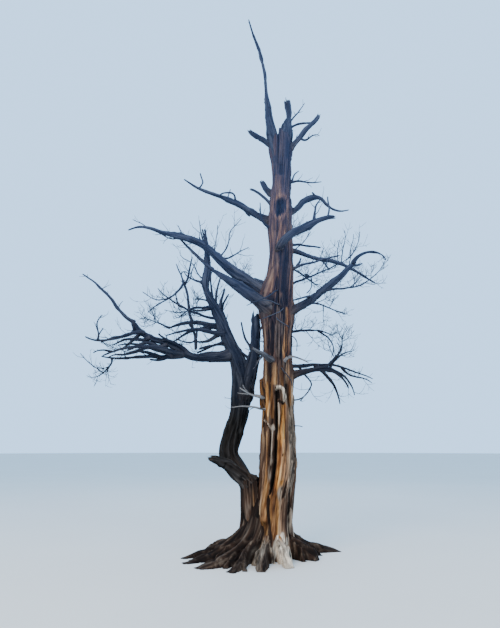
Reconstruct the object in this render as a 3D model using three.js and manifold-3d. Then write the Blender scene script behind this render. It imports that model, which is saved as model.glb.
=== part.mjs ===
// A dead mountain conifer, standing: a bare weathered trunk with a broken fork and a long dead leader,
// a crooked second stem on its left side, gnarled boughs, and thin masses of dead twigs.
// Millimetres, +Z up. The origin is on the flat cut at ground level, and the tree is seen from -Y.
import * as THREE from "three";
import { mergeVertices } from "three/addons/utils/BufferGeometryUtils.js";
import Module from "manifold-3d";

// Driving dimensions of the trunk. Lists are read at equal steps from the ground to the fork.
const FORK_HEIGHT = 7200;
const TRUNK_RADIUS = [275, 262, 280, 290, 272, 256, 240, 228, 230, 236, 214, 203, 188, 176, 160, 168, 205];
const TRUNK_X = [115, 130, 168, 220, 226, 230, 234, 230, 232, 245, 288, 306, 308, 314, 332, 342, 338];
const TRUNK_TWIST = 70; // degrees that the grain turns on its way up
const LOBES = 5; // long swellings down the trunk
const LOBE_DEPTH = 0.06;
const BROKEN_TOP = { rise: 90, hollow: 160, teeth: 3 };

// The open split down the front of the trunk, where the heart has rotted out.
const SPLIT = { bearing: 266, low: 900, high: 2900, width: 11, depth: 95 };

// The flank is the foot of the second stem, grown together with the trunk.
const FLANK = {
  start: [-215, 60, -60],
  length: 1220,
  climb: [90, 90],
  bearing: [180, 180],
  girth: [200, 165, 160, 175],
};

// Surface roots: bearing from +X, reach along the ground, and radius where they leave the trunk.
const ROOTS = [
  { bearing: 188, reach: 1180, radius: 140, from: [-200, 50] },
  { bearing: 205, reach: 1260, radius: 160, from: [-200, 0] },
  { bearing: 226, reach: 1180, radius: 150, from: [-130, -50] },
  { bearing: 243, reach: 1110, radius: 150, from: [-50, -70] },
  { bearing: 264, reach: 900, radius: 170, from: [30, -70] },
  { bearing: 290, reach: 720, radius: 160, from: [120, -70] },
  { bearing: 330, reach: 640, radius: 130, from: [170, -20] },
  { bearing: 19, reach: 1080, radius: 140, from: [180, 30] },
  { bearing: 60, reach: 850, radius: 140, from: [140, 80] },
  { bearing: 104, reach: 920, radius: 150, from: [60, 90] },
  { bearing: 148, reach: 980, radius: 150, from: [-120, 90] },
];
const ROOT_CROWN = 330; // height at which the roots leave the trunk

const CLEARANCE = 0.4; // gap between pieces that meet
const STRIDES = 16; // straight steps in which a limb is walked
const CROOK = 3; // degrees by which a stride may stray
const TWIG_GAP = 12; // least distance between a twig and any other limb

const WOOD = { roughness: 0.85, metalness: 0 };
const MATERIALS = {
  trunk: new THREE.MeshStandardMaterial({ color: 0x97694a, ...WOOD }),
  bough: new THREE.MeshStandardMaterial({ color: 0x423d3f, ...WOOD }),
  twig: new THREE.MeshStandardMaterial({ color: 0x3a3637, ...WOOD }),
  pale: new THREE.MeshStandardMaterial({ color: 0xa89c8c, ...WOOD }),
};

// Limbs. Each leaves its parent at a share of the parent's length, and is walked for its own length.
// Its climb above level, its bearing from +X and its radius are read at equal steps from foot to tip.
const STEMS = [
  {
    name: "second_stem", parent: "flank", at: 0.861, length: 4880,
    climb: [52, 44, 75, 68, 87, 88, 72, 65, 68, 36, 111, 72, 77, 75],
    bearing: [146, 196, 21, -10, -16, -141, -174, -169, -128, -207, -149, -267, -228, -228],
    girth: [185, 165, 160, 155, 120, 88, 62, 45, 16],
  },
  {
    name: "inner_stem", parent: "second_stem", at: 0.3, length: 1550,
    climb: [71, 74, 83, 93], bearing: [-22, -19, -33, -14], girth: [118, 105, 90, 62],
  },
  {
    name: "leader", parent: "trunk", at: 0.9, length: 3730,
    climb: [82, 76, 81, 87, 82, 84, 82, 70, 73, 77],
    bearing: [180, 177, 179, 182, 147, 121, 144, 169, 189, 219],
    girth: [118, 112, 98, 62, 29, 28, 33, 26, 10],
  },
  {
    name: "crown_prong", parent: "trunk", at: 0.931, length: 1360,
    climb: [80, 84, 79, 102], bearing: [-26, 1, 20, 11],
    girth: [104, 110, 120, 126, 122, 96, 50, 58, 62],
  },
];

const BOUGHS = [
  {
    name: "elbow_stub", parent: "flank", at: 0.856, length: 810,
    climb: [44, 39, 11], bearing: [193, 201, 215], girth: [156, 112, 50],
  },
  {
    name: "top_left_stub", parent: "trunk", at: 0.957, length: 740,
    climb: [53, 28, 23], bearing: [169, 201, 213], girth: [54, 44, 40, 16],
  },
  {
    name: "top_right_bough", parent: "trunk", at: 0.955, length: 1120,
    climb: [40, 33, 53, 49, 62], bearing: [9, -47, 7, 11, 2], girth: [54, 42, 40, 24],
  },
  {
    name: "top_right_arm", parent: "crown_prong", at: 0.499, length: 680,
    climb: [58, 7], bearing: [28, 8], girth: [28, 23, 16],
  },
  {
    name: "broad_stub", parent: "trunk", at: 0.827, length: 610,
    climb: [41, 62], bearing: [146, 152], girth: [62, 56, 44],
  },
  {
    name: "thin_stub", parent: "trunk", at: 0.786, length: 720,
    climb: [51, 41, 5], bearing: [193, 195, 212], girth: [31, 27, 17],
  },
  {
    name: "upper_left_bough", parent: "trunk", at: 0.754, length: 1950,
    climb: [42, 19, 26, 26, 8, 23, 29], bearing: [178, 180, 193, 194, 184, 194, 206],
    girth: [80, 68, 52, 36, 27, 11],
  },
  {
    name: "upper_right_bough", parent: "trunk", at: 0.78, length: 1680,
    climb: [49, 23, 52, 26, -42, -9, 25], bearing: [38, 14, 25, 16, 14, 24, 0],
    girth: [62, 56, 46, 26, 10],
  },
  {
    name: "crossing_bough", parent: "trunk", at: 0.681, length: 1340,
    climb: [-18, 30, 28, 23, 2], bearing: [239, 305, 350, 342, 353], girth: [84, 66, 52, 22],
  },
  {
    name: "straight_right_bough", parent: "trunk", at: 0.707, length: 1020,
    climb: [18, 10, 5], bearing: [47, 37, 26], girth: [28, 22, 15],
  },
  {
    name: "long_right_bough", parent: "trunk", at: 0.685, length: 1870,
    climb: [40, -30, -10, -16, -38, -32], bearing: [46, -8, 3, -1, 0, 1], girth: [48, 40, 33, 26, 13],
  },
  {
    name: "mid_right_bough", parent: "trunk", at: 0.629, length: 1100,
    climb: [24, 0, 15, 5], bearing: [-11, -42, -4, -26], girth: [30, 22, 18, 10],
  },
  {
    name: "hook_bough", parent: "trunk", at: 0.516, length: 1600,
    climb: [25, 21, 36, 43, 43], bearing: [-14, -11, -11, -13, 7], girth: [84, 62, 58, 48, 38],
  },
  {
    name: "hook_tip", parent: "hook_bough", at: 1, length: 730,
    climb: [76, 33, 9, -18, -72], bearing: [0, -2, -1, 3, -3], girth: [36, 28, 20, 8],
  },
  {
    name: "low_right_bough", parent: "trunk", at: 0.369, length: 1300,
    climb: [25, 10, 9, -31, -71], bearing: [-9, -12, -7, 7, -4], girth: [62, 46, 34, 11],
  },
  {
    name: "low_right_arc", parent: "trunk", at: 0.402, length: 1990,
    climb: [5, 7, 1, -14, -20], bearing: [42, 30, 19, 18, 15], girth: [38, 31, 24, 16, 8],
  },
  {
    name: "thick_left_bough", parent: "trunk", at: 0.514, length: 1430,
    climb: [36, 30, 33, 26], bearing: [225, 205, 191, 192], girth: [118, 100, 76, 24],
  },
  {
    name: "long_left_bough", parent: "trunk", at: 0.544, length: 3090,
    climb: [48, 38, 34, 44, 40, 13, 14, 15, -29],
    bearing: [179, 179, 180, 190, 187, 189, 179, 211, 156], girth: [124, 104, 90, 72, 56, 48, 26, 12],
  },
  {
    name: "low_left_bough", parent: "second_stem", at: 0.485, length: 1900,
    climb: [-28, -2, -5, 40, 15, 22, 65], bearing: [194, 188, 193, 186, 213, 166, 197],
    girth: [98, 74, 62, 48, 33],
  },
  {
    name: "low_left_sweep", parent: "low_left_bough", at: 1, length: 1310,
    climb: [34, 37, 58, 46, 40, 28], bearing: [178, 182, 180, 179, 180, 183], girth: [30, 25, 21, 10],
  },
  {
    name: "low_left_fork", parent: "low_left_bough", at: 0.869, length: 1010,
    climb: [17, -31, -14, -7, 30], bearing: [259, 192, 197, 191, 209], girth: [32, 27, 20, 10],
  },
  {
    name: "low_left_under", parent: "low_left_bough", at: 0.46, length: 1600,
    climb: [-16, 8, -5, 14], bearing: [156, 165, 167, 169], girth: [46, 38, 29, 21, 12],
  },
  {
    name: "low_left_front", parent: "low_left_bough", at: 0.459, length: 1410,
    climb: [-6, 11, -14, -32], bearing: [223, 207, 201, 224], girth: [38, 31, 22, 11],
  },
  {
    name: "mid_left_bough", parent: "second_stem", at: 0.578, length: 1100,
    climb: [9, 20, 0, -15], bearing: [163, 153, 169, 161], girth: [50, 40, 33, 20],
  },
  {
    name: "mid_left_low", parent: "second_stem", at: 0.56, length: 1170,
    climb: [-22, 13, -15, -26], bearing: [230, 210, 209, 211], girth: [44, 34, 23, 8],
  },
  {
    name: "upright_left", parent: "mid_left_bough", at: 0.587, length: 1200,
    climb: [69, 84, 67, 68], bearing: [161, 181, 179, 180], girth: [28, 24, 19, 8],
  },
  {
    name: "cross_left", parent: "upright_left", at: 0.703, length: 1220,
    climb: [-33, -48, -34, -46], bearing: [299, 240, 216, 220], girth: [23, 19, 14, 7],
  },
  {
    name: "front_stub", parent: "trunk", at: 0.405, length: 800,
    climb: [4, 10, 22], bearing: [248, 236, 222], girth: [56, 42, 36, 16],
  },
  {
    name: "back_low_bough", parent: "trunk", at: 0.44, length: 1700,
    climb: [30, 8, 2, 24], bearing: [62, 74, 88, 80], girth: [72, 50, 34, 12],
  },
  {
    name: "back_left_bough", parent: "trunk", at: 0.58, length: 1950,
    climb: [34, 26, 8, 30], bearing: [128, 122, 134, 126], girth: [84, 60, 40, 13],
  },
];

const PALE_BOUGHS = [
  {
    name: "pale_left_spike", parent: "trunk", at: 0.293, length: 870,
    climb: [16, 4, -7], bearing: [218, 209, 197], girth: [20, 17, 7],
  },
  {
    name: "pale_left_snag", parent: "trunk", at: 0.324, length: 740,
    climb: [-1, 14, 24], bearing: [182, 212, 217], girth: [30, 24, 8],
  },
  {
    name: "pale_right_snag", parent: "trunk", at: 0.403, length: 770,
    climb: [0, 24, -21, -28], bearing: [-64, -68, -40, -22], girth: [30, 21, 8],
  },
];

// Twig masses: a stem walked as a limb is, and a seeded number of twigs along it.
const TWIG_MASSES = [
  {
    name: "twigs_top", parent: "crown_prong", at: 0.631, length: 850,
    climb: [51, 57, 61], bearing: [32, 38, 23], girth: [19, 14, 5], twigs: 4, reach: 260,
  },
  {
    name: "twigs_top_right", parent: "top_right_bough", at: 0.445, length: 460,
    climb: [-68, 28, -53], bearing: [-5, -38, -39], girth: [21, 15, 5], twigs: 4, reach: 220,
  },
  {
    name: "twigs_upper_right", parent: "trunk", at: 0.859, length: 820,
    climb: [51, -27, 5], bearing: [-8, -30, -9], girth: [29, 17, 6], twigs: 4, reach: 300,
  },
  {
    name: "twigs_upper_left", parent: "trunk", at: 0.749, length: 770,
    climb: [-29, 35, 104], bearing: [197, 224, 297], girth: [34, 22, 7], twigs: 3, reach: 260,
  },
  {
    name: "twigs_crossing", parent: "crossing_bough", at: 0.748, length: 540,
    climb: [74, 83, 27], bearing: [68, 10, -4], girth: [26, 18, 7], twigs: 4, reach: 360,
  },
  {
    name: "twigs_mid_right", parent: "trunk", at: 0.644, length: 1340,
    climb: [27, 5, -25, -4], bearing: [84, 40, 42, 46], girth: [26, 19, 13, 6], twigs: 5, reach: 420,
  },
  {
    name: "twigs_rising_right", parent: "trunk", at: 0.587, length: 1880,
    climb: [28, 26, 30, 31], bearing: [49, 26, 21, 22], girth: [28, 20, 16, 11, 6],
    twigs: 9, reach: 640,
  },
  {
    name: "twigs_hook", parent: "hook_bough", at: 0.581, length: 1190,
    climb: [-1, 0, 36, 61], bearing: [-29, -15, -11, -30], girth: [21, 15, 10, 5], twigs: 6, reach: 400,
  },
  {
    name: "twigs_droop_right", parent: "hook_bough", at: 0.253, length: 940,
    climb: [24, -31, -22], bearing: [-34, -47, -19], girth: [21, 13, 6], twigs: 6, reach: 420,
  },
  {
    name: "twigs_low_right", parent: "low_right_bough", at: 0.592, length: 770,
    climb: [44, 48, 89], bearing: [0, 32, 67], girth: [24, 17, 7], twigs: 7, reach: 460,
  },
  {
    name: "twigs_right_behind", parent: "trunk", at: 0.469, length: 1270,
    climb: [30, 14, 5, -24], bearing: [38, 35, 21, 30], girth: [32, 24, 16, 7], twigs: 7, reach: 460,
  },
  {
    name: "twigs_long_left", parent: "long_left_bough", at: 0.429, length: 700,
    climb: [18, 38, 32], bearing: [42, 29, 21], girth: [20, 13, 6], twigs: 5, reach: 440,
  },
  {
    name: "twigs_stem_top", parent: "second_stem", at: 0.9, length: 620,
    climb: [62, 76, 84], bearing: [196, 200, 180], girth: [20, 14, 5], twigs: 5, reach: 400,
  },
  {
    name: "twigs_high_left", parent: "second_stem", at: 0.762, length: 720,
    climb: [30, 23, 52], bearing: [130, 136, 131], girth: [28, 18, 7], twigs: 6, reach: 460,
  },
  {
    name: "twigs_link_left", parent: "second_stem", at: 0.661, length: 920,
    climb: [-12, -11, -29, -47], bearing: [224, 230, 244, 198], girth: [26, 18, 7],
    twigs: 5, reach: 380,
  },
  {
    name: "twigs_reach_left", parent: "second_stem", at: 0.622, length: 1240,
    climb: [-20, 17, 21, 39], bearing: [202, 208, 208, 221], girth: [30, 21, 14, 6],
    twigs: 7, reach: 440,
  },
  {
    name: "twigs_mid_left", parent: "mid_left_bough", at: 1, length: 560,
    climb: [26, 24, 22], bearing: [167, 169, 170], girth: [18, 12, 6], twigs: 7, reach: 440,
  },
  {
    name: "twigs_low_left_sprig", parent: "low_left_fork", at: 0.793, length: 460,
    climb: [83, 67, 51], bearing: [43, 256, 411], girth: [17, 12, 6], twigs: 3, reach: 260,
  },
  {
    name: "twigs_low_left_hang", parent: "low_left_under", at: 0.864, length: 440,
    climb: [-95, -47, -27], bearing: [212, 181, 180], girth: [18, 13, 6], twigs: 6, reach: 400,
  },
  {
    name: "twigs_back_left", parent: "back_left_bough", at: 0.62, length: 900,
    climb: [40, 30, 50], bearing: [96, 88, 90], girth: [30, 19, 7], twigs: 6, reach: 460,
  },
  {
    name: "twigs_back_low", parent: "back_low_bough", at: 0.6, length: 860,
    climb: [20, 10, 34], bearing: [120, 128, 124], girth: [28, 18, 7], twigs: 6, reach: 460,
  },
  {
    name: "twigs_back_high", parent: "trunk", at: 0.73, length: 1300,
    climb: [42, 14, 30], bearing: [88, 70, 78], girth: [54, 34, 10], twigs: 7, reach: 480,
  },
];

const GOLDEN_ANGLE = 137.5;
const UP = new THREE.Vector3(0, 0, 1);
const wasm = await Module();
wasm.setup();

// A seeded row of numbers from 0 to 1 (Park and Miller's generator).
function seeded(seed) {
  let state = (seed * 7919 + 104729) % 2147483647;
  return () => {
    state = (state * 48271) % 2147483647;
    return state / 2147483647;
  };
}

// The value at share t of a list that is read at equal steps.
function along(list, t) {
  const place = Math.min(Math.max(t, 0), 1) * (list.length - 1);
  const step = Math.min(Math.floor(place), list.length - 2);
  return THREE.MathUtils.lerp(list[step], list[step + 1], place - step);
}

// The unit vector on a bearing from +X, climbing by an angle above level, both in degrees.
function heading(bearing, climb) {
  const b = THREE.MathUtils.degToRad(bearing);
  const c = THREE.MathUtils.degToRad(climb);
  return new THREE.Vector3(Math.cos(c) * Math.cos(b), Math.cos(c) * Math.sin(b), Math.sin(c));
}

// The points that a limb passes, in equal strides that stray a little.
function walk(start, limb, random) {
  const points = [start.clone()];
  for (let i = 0; i < STRIDES; i++) {
    const t = (i + 0.5) / STRIDES;
    const climb = along(limb.climb, t) + CROOK * (2 * random() - 1);
    const bearing = along(limb.bearing, t) + CROOK * (2 * random() - 1);
    const stride = heading(bearing, climb).multiplyScalar(limb.length / STRIDES);
    points.push(points[i].clone().add(stride));
  }
  return points;
}

function pointAt(points, t) {
  const place = Math.min(Math.max(t, 0), 1) * (points.length - 1);
  const step = Math.min(Math.floor(place), points.length - 2);
  return points[step].clone().lerp(points[step + 1], place - step);
}

function directionAt(points, t) {
  const reach = 0.5 / (points.length - 1);
  return pointAt(points, t + reach).sub(pointAt(points, t - reach)).normalize();
}

// A closed mesh's geometry as a solid.
function solidOf(geometry) {
  geometry.deleteAttribute("normal");
  geometry.deleteAttribute("uv");
  const merged = mergeVertices(geometry, 1e-3);
  return new wasm.Manifold(
    new wasm.Mesh({
      numProp: 3,
      vertProperties: merged.attributes.position.array,
      triVerts: new Uint32Array(merged.index.array),
    }),
  );
}

function geometryOf(solid) {
  const mesh = solid.getMesh();
  const geometry = new THREE.BufferGeometry();
  const positions = new THREE.BufferAttribute(mesh.vertProperties, 3);
  geometry.setAttribute("position", positions);
  geometry.setIndex(new THREE.BufferAttribute(mesh.triVerts, 1));
  geometry.computeVertexNormals();
  return geometry;
}

// A capped cylinder with each vertex moved to place(ring, side): side is null at a cap's centre.
function bentCylinder(sides, rings, place) {
  const geometry = new THREE.CylinderGeometry(1, 1, 1, sides, rings);
  const position = geometry.attributes.position;
  for (let i = 0; i < position.count; i++) {
    const ring = Math.round((position.getY(i) + 0.5) * rings);
    const [x, z] = [position.getX(i), position.getZ(i)];
    const turn = Math.atan2(x, z) / (2 * Math.PI);
    const side = Math.hypot(x, z) < 0.5 ? null : (Math.round(turn * sides) + sides) % sides;
    position.setXYZ(i, ...place(ring, side).toArray());
  }
  return solidOf(geometry);
}

// A tapering limb as a solid, grown all over by the given amount.
function limbSolid(points, girth, sides, rings, grown = 0) {
  const centres = [];
  const across = [];
  const tangents = [];
  let normal = new THREE.Vector3(0, 1, 0);
  for (let ring = 0; ring <= rings; ring++) {
    const t = ring / rings;
    const tangent = directionAt(points, t);
    normal = normal.clone().addScaledVector(tangent, -normal.dot(tangent)).normalize();
    const end = ring === 0 ? -grown : ring === rings ? grown : 0;
    centres.push(pointAt(points, t).addScaledVector(tangent, end));
    across.push([normal, new THREE.Vector3().crossVectors(tangent, normal)]);
    tangents.push(tangent);
  }
  return bentCylinder(sides, rings, (ring, side) => {
    const centre = centres[ring].clone();
    if (side === null) return centre;
    const angle = (2 * Math.PI * side) / sides;
    const radius = along(girth, ring / rings) + grown;
    return centre
      .addScaledVector(across[ring][0], radius * Math.cos(angle))
      .addScaledVector(across[ring][1], radius * Math.sin(angle));
  });
}

function trunkCentre(height) {
  return new THREE.Vector3(along(TRUNK_X, height / FORK_HEIGHT), 0, height);
}

// The trunk's radius: its girth, long twisted lobes, and the open split in front.
function trunkRadius(height, bearing) {
  const share = height / FORK_HEIGHT;
  const turned = THREE.MathUtils.degToRad(bearing - TRUNK_TWIST * share);
  const lobed = 1 + LOBE_DEPTH * Math.sin(LOBES * turned) + (LOBE_DEPTH / 2) * Math.sin(2 * turned);
  const off = ((bearing - SPLIT.bearing + 540) % 360) - 180;
  const span = THREE.MathUtils.clamp((height - SPLIT.low) / (SPLIT.high - SPLIT.low), 0, 1);
  const split = SPLIT.depth * Math.sin(Math.PI * span) * Math.exp(-((off / SPLIT.width) ** 2));
  return along(TRUNK_RADIUS, share) * lobed - split;
}

function mainTrunk(grown) {
  const sides = 24;
  const rings = 22;
  return bentCylinder(sides, rings, (ring, side) => {
    const height = (FORK_HEIGHT * ring) / rings;
    const centre = trunkCentre(height);
    const top = ring === rings;
    if (side === null) return centre.setZ(top ? height - BROKEN_TOP.hollow + 3 * grown : height);
    const bearing = (360 * side) / sides;
    const jag = top ? BROKEN_TOP.rise * Math.sin(BROKEN_TOP.teeth * THREE.MathUtils.degToRad(bearing)) : 0;
    const out = heading(bearing, 0).multiplyScalar(trunkRadius(height, bearing) + grown);
    return centre.add(out).setZ(height + jag + (top ? 3 * grown : 0));
  });
}

// A root runs out from the trunk's foot, sinking until it is half in the ground.
function rootSolid(root, grown) {
  const start = new THREE.Vector3(root.from[0], root.from[1], ROOT_CROWN);
  const drop = { length: root.reach, climb: [-38, -22, -12, -8, -6], bearing: [root.bearing, root.bearing] };
  const girth = [1, 0.8, 0.55, 0.35, 0.18].map((share) => share * root.radius);
  return limbSolid(walk(start, drop, seeded(root.bearing)), girth, 6, 5, grown);
}

// Trunk, flank and surface roots in one, cut flat at the ground.
function trunkSolid(flank, grown = 0) {
  let whole = mainTrunk(grown).add(limbSolid(flank, FLANK.girth, 12, 5, grown));
  for (const root of ROOTS) whole = whole.add(rootSolid(root, grown));
  const size = 2 * FORK_HEIGHT;
  const above = new THREE.BoxGeometry(size, size, size).translate(0, 0, size / 2);
  return whole.intersect(solidOf(above));
}

function boxesMeet(a, b) {
  const [one, two] = [a.boundingBox(), b.boundingBox()];
  return [0, 1, 2].every((i) => one.min[i] <= two.max[i] && two.min[i] <= one.max[i]);
}

// The largest piece of a solid, once what already stands there is cut out of it.
function clearOf(solid, standing) {
  const near = standing.filter((other) => boxesMeet(solid, other));
  const pieces = wasm.Manifold.difference([solid, ...near]).decompose();
  return pieces.reduce((a, b) => (a.volume() > b.volume() ? a : b));
}

// Straight stretches of a limb, kept to measure how near a twig comes.
const stretches = [];
function remember(name, points, girth, count) {
  for (let i = 0; i < count; i++) {
    const [a, b] = [i / count, (i + 1) / count];
    const radius = Math.max(along(girth, a), along(girth, b));
    stretches.push({ name, line: new THREE.Line3(pointAt(points, a), pointAt(points, b)), radius });
  }
}

function touches(name, points, radius) {
  const near = new THREE.Vector3();
  return stretches.some(
    (other) =>
      other.name !== name &&
      points.some((point) => {
        other.line.closestPointToPoint(point, true, near);
        return near.distanceTo(point) < other.radius + radius + TWIG_GAP;
      }),
  );
}

// A twig leaves its stem at share t, leaning towards the stem's tip, and curves upwards.
function twigPath(stem, t, turn, length, random) {
  const forward = directionAt(stem, t);
  const side = new THREE.Vector3().crossVectors(forward, UP).normalize();
  const lift = new THREE.Vector3().crossVectors(side, forward);
  const angle = THREE.MathUtils.degToRad(turn);
  const out = side.multiplyScalar(Math.cos(angle)).addScaledVector(lift, Math.sin(angle));
  const lean = 0.5 + 0.7 * random();
  const curl = 0.35 + 0.5 * random();
  const points = [pointAt(stem, t)];
  const course = out.addScaledVector(forward, lean).normalize();
  for (let i = 0; i < 3; i++) {
    points.push(points[i].clone().addScaledVector(course, length / 3));
    course.addScaledVector(UP, curl / 2).normalize();
  }
  return points;
}

// A mass of twigs as one solid: the stem, its twigs, and a side twig on every second one.
function massSolid(mass, stem, random) {
  const parts = [limbSolid(stem, mass.girth, 5, 6)];
  const grow = (points, radius, rings) => {
    if (touches(mass.name, points.slice(1), radius)) return false;
    parts.push(limbSolid(points, [radius, 3], 3, rings));
    remember(mass.name, points, [radius, 3], 2);
    return true;
  };
  for (let i = 0; i < mass.twigs; i++) {
    const t = 0.22 + (0.76 * (i + random())) / mass.twigs;
    const length = mass.reach * (1 - 0.45 * t) * (0.6 + 0.6 * random());
    const radius = Math.min(8, 0.6 * along(mass.girth, t));
    const twig = twigPath(stem, t, i * GOLDEN_ANGLE, length, random);
    const fork = twigPath(twig, 0.45, i * GOLDEN_ANGLE + 90, 0.55 * length, random);
    if (grow(twig, radius, 2) && i % 2) grow(fork, 0.7 * radius, 1);
  }
  return wasm.Manifold.union(parts);
}

const tree = new THREE.Group();
const paths = { flank: walk(new THREE.Vector3(...FLANK.start), FLANK, seeded(1)) };
paths.trunk = Array.from({ length: 33 }, (_, i) => trunkCentre((FORK_HEIGHT * i) / 32));
const limbs = []; // each limb placed so far, grown by the clearance

function meshOf(name, solid, material) {
  const mesh = new THREE.Mesh(geometryOf(solid), material);
  mesh.name = name;
  return mesh;
}

tree.add(meshOf("trunk", trunkSolid(paths.flank), MATERIALS.trunk));
limbs.push(trunkSolid(paths.flank, CLEARANCE));
remember("trunk", paths.trunk, TRUNK_RADIUS, 16);
remember("trunk", paths.flank, FLANK.girth, 2);

const LIMB_KINDS = [
  [STEMS, MATERIALS.bough],
  [BOUGHS, MATERIALS.bough],
  [PALE_BOUGHS, MATERIALS.pale],
];
let seed = 10;
for (const [rows, material] of LIMB_KINDS) {
  for (const row of rows) {
    const path = walk(pointAt(paths[row.parent], row.at), row, seeded(seed++));
    const sides = row.girth[0] > 90 ? 9 : 6;
    const rings = THREE.MathUtils.clamp(Math.round(row.length / 200), 4, 16);
    const solid = clearOf(limbSolid(path, row.girth, sides, rings), limbs);
    tree.add(meshOf(row.name, solid, material));
    limbs.push(limbSolid(path, row.girth, sides, rings, CLEARANCE));
    remember(row.name, path, row.girth, 8);
    paths[row.name] = path;
  }
}

for (const mass of TWIG_MASSES) {
  paths[mass.name] = walk(pointAt(paths[mass.parent], mass.at), mass, seeded(seed++));
  remember(mass.name, paths[mass.name], mass.girth, 8);
}
for (const mass of TWIG_MASSES) {
  const solid = clearOf(massSolid(mass, paths[mass.name], seeded(seed++)), limbs);
  tree.add(meshOf(mass.name, solid, MATERIALS.twig));
  limbs.push(limbSolid(paths[mass.name], mass.girth, 5, 6, CLEARANCE));
}

export default tree;
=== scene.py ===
import math

import bpy
import numpy as np
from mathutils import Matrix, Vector


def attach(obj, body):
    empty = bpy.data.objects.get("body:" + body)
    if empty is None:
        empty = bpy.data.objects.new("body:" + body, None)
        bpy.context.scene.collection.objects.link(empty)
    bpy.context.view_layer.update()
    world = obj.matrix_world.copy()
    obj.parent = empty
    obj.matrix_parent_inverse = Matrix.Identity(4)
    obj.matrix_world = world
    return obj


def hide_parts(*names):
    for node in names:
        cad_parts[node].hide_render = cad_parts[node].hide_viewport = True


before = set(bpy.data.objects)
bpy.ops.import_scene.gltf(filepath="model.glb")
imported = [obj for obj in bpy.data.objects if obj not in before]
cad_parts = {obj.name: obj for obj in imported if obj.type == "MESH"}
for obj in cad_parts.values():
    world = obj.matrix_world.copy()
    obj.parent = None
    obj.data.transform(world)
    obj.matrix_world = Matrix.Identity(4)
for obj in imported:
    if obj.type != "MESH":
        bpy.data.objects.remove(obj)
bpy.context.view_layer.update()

# The tree's measurements as in the part's source, in millimetres and degrees. Meshes are made in metres,
# hence each division by 1000. The last number given to a noise is its seed.
FORK_HEIGHT = 7200
TRUNK_RADIUS = [275, 262, 280, 290, 272, 256, 240, 228, 230, 236, 214, 203, 188, 176, 160, 168, 205]
TRUNK_X = [115, 130, 168, 220, 226, 230, 234, 230, 232, 245, 288, 306, 308, 314, 332, 342, 338]
TRUNK_TWIST = 70
LOBES = 5
LOBE_DEPTH = 0.06
BROKEN_TOP = dict(rise=90, hollow=160, teeth=3)
SPLIT = dict(bearing=266, low=900, high=2900, width=11, depth=95)
FLANK = dict(start=(-215, 60, -60), length=1220, climb=[90, 90], bearing=[180, 180],
             girth=[200, 165, 160, 175])
ROOT_CROWN = 330
ROOT_FALLS = [-38, -22, -12, -8, -6]
ROOT_TAPER = [1, 0.8, 0.55, 0.35, 0.18]
ROOTS = [  # bearing, reach, radius, x and y of the foot
    (188, 1180, 140, -200, 50), (205, 1260, 160, -200, 0), (226, 1180, 150, -130, -50),
    (243, 1110, 150, -50, -70), (264, 900, 170, 30, -70), (290, 720, 160, 120, -70),
    (330, 640, 130, 170, -20), (19, 1080, 140, 180, 30), (60, 850, 140, 140, 80),
    (104, 920, 150, 60, 90), (148, 980, 150, -120, 90),
]
STRIDES = 16
TWIG_STRIDES = 3
CROOK = 3
TWIG_GAP = 12
GOLDEN_ANGLE = 137.5
MODULUS = 2147483647  # of the source's random numbers

# The first seeds of the side limbs, of their fine twigs and of the spurs.
SIDE_SEED = 500
FRINGE_SEED = 700
SPUR_SEED = 900

# The finest twig tip, and the longest of the fine twigs that only this script has, in millimetres.
FINEST = 1.8
LONGEST_FRINGE = 340
# How many points a mesh has round and along it.
TRUNK_GRID = (250, 366)
FLANK_GRID = (130, 110)
PLATE_GRID = (400, 92)
# The meshes' rings lie this far apart, in metres, along a limb and along a smaller one.
LIMB_PITCH = 0.013
SIDE_PITCH = 0.012
KNOTS_PER_METRE = 7
# How many points go round a limb, by the radius that its foot has to be over.
AROUND = {150: 72, 90: 44, 40: 28, 0: 18}

# The knot in front, in degrees and metres.
KNOT = dict(bearing=268, height=5.75)
# Heights on the trunk, in metres, between which its wood changes.
DULLER = (2.3, 3.0)
LESS_SILVER = (2.2, 3.0)
DARKER = (2.2, 3.6)
STILL_DARKER = (3.9, 5.6)
DARK_TOP = (6.15, 6.75)
BELOW_KNOT = (4.6, 5.0)
ABOVE_KNOT = (6.3, 5.9)
DARK_STRETCH_END = (4.6, 4.0)
# Heights, in metres, between which the wood takes on painted blue skylight: the blue of the sky behind it,
# painted into its colour.
TRUNK_PAINTED_SKYLIGHT = (2.4, 6.2)
LIMB_PAINTED_SKYLIGHT = (2.0, 4.6)

# The camera stands at eye height, tilted up. The lens is its focal length as a share of the picture's width.
EYE = (-0.2416, -8.0, 1.6)
TILT = 15.3
LENS = 483 / 500
SKY_COLOUR = (0.40, 0.66, 1.0)
SKY_STRENGTH = 2.3
FLOOR_COLOUR = (0.62, 0.60, 0.56)
FLOOR_RADIUS = 120

# Each limb: name, parent, share of the parent, length, climbs, bearings, radii. The four snapped limbs
# top_left_stub, top_right_bough, thin_stub and crossing_bough have fuller ends here than in the source.
STEMS = [
    ("second_stem", "flank", 0.861, 4880, [52, 44, 75, 68, 87, 88, 72, 65, 68, 36, 111, 72, 77, 75],
     [146, 196, 21, -10, -16, -141, -174, -169, -128, -207, -149, -267, -228, -228],
     [185, 165, 160, 155, 120, 88, 62, 45, 16]),
    ("inner_stem", "second_stem", 0.3, 1550, [71, 74, 83, 93], [-22, -19, -33, -14], [118, 105, 90, 62]),
    ("leader", "trunk", 0.9, 3730, [82, 76, 81, 87, 82, 84, 82, 70, 73, 77],
     [180, 177, 179, 182, 147, 121, 144, 169, 189, 219], [118, 112, 98, 62, 29, 28, 33, 26, 10]),
    ("crown_prong", "trunk", 0.931, 1360, [80, 84, 79, 102], [-26, 1, 20, 11],
     [104, 110, 120, 126, 122, 96, 50, 58, 62]),
]
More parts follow.
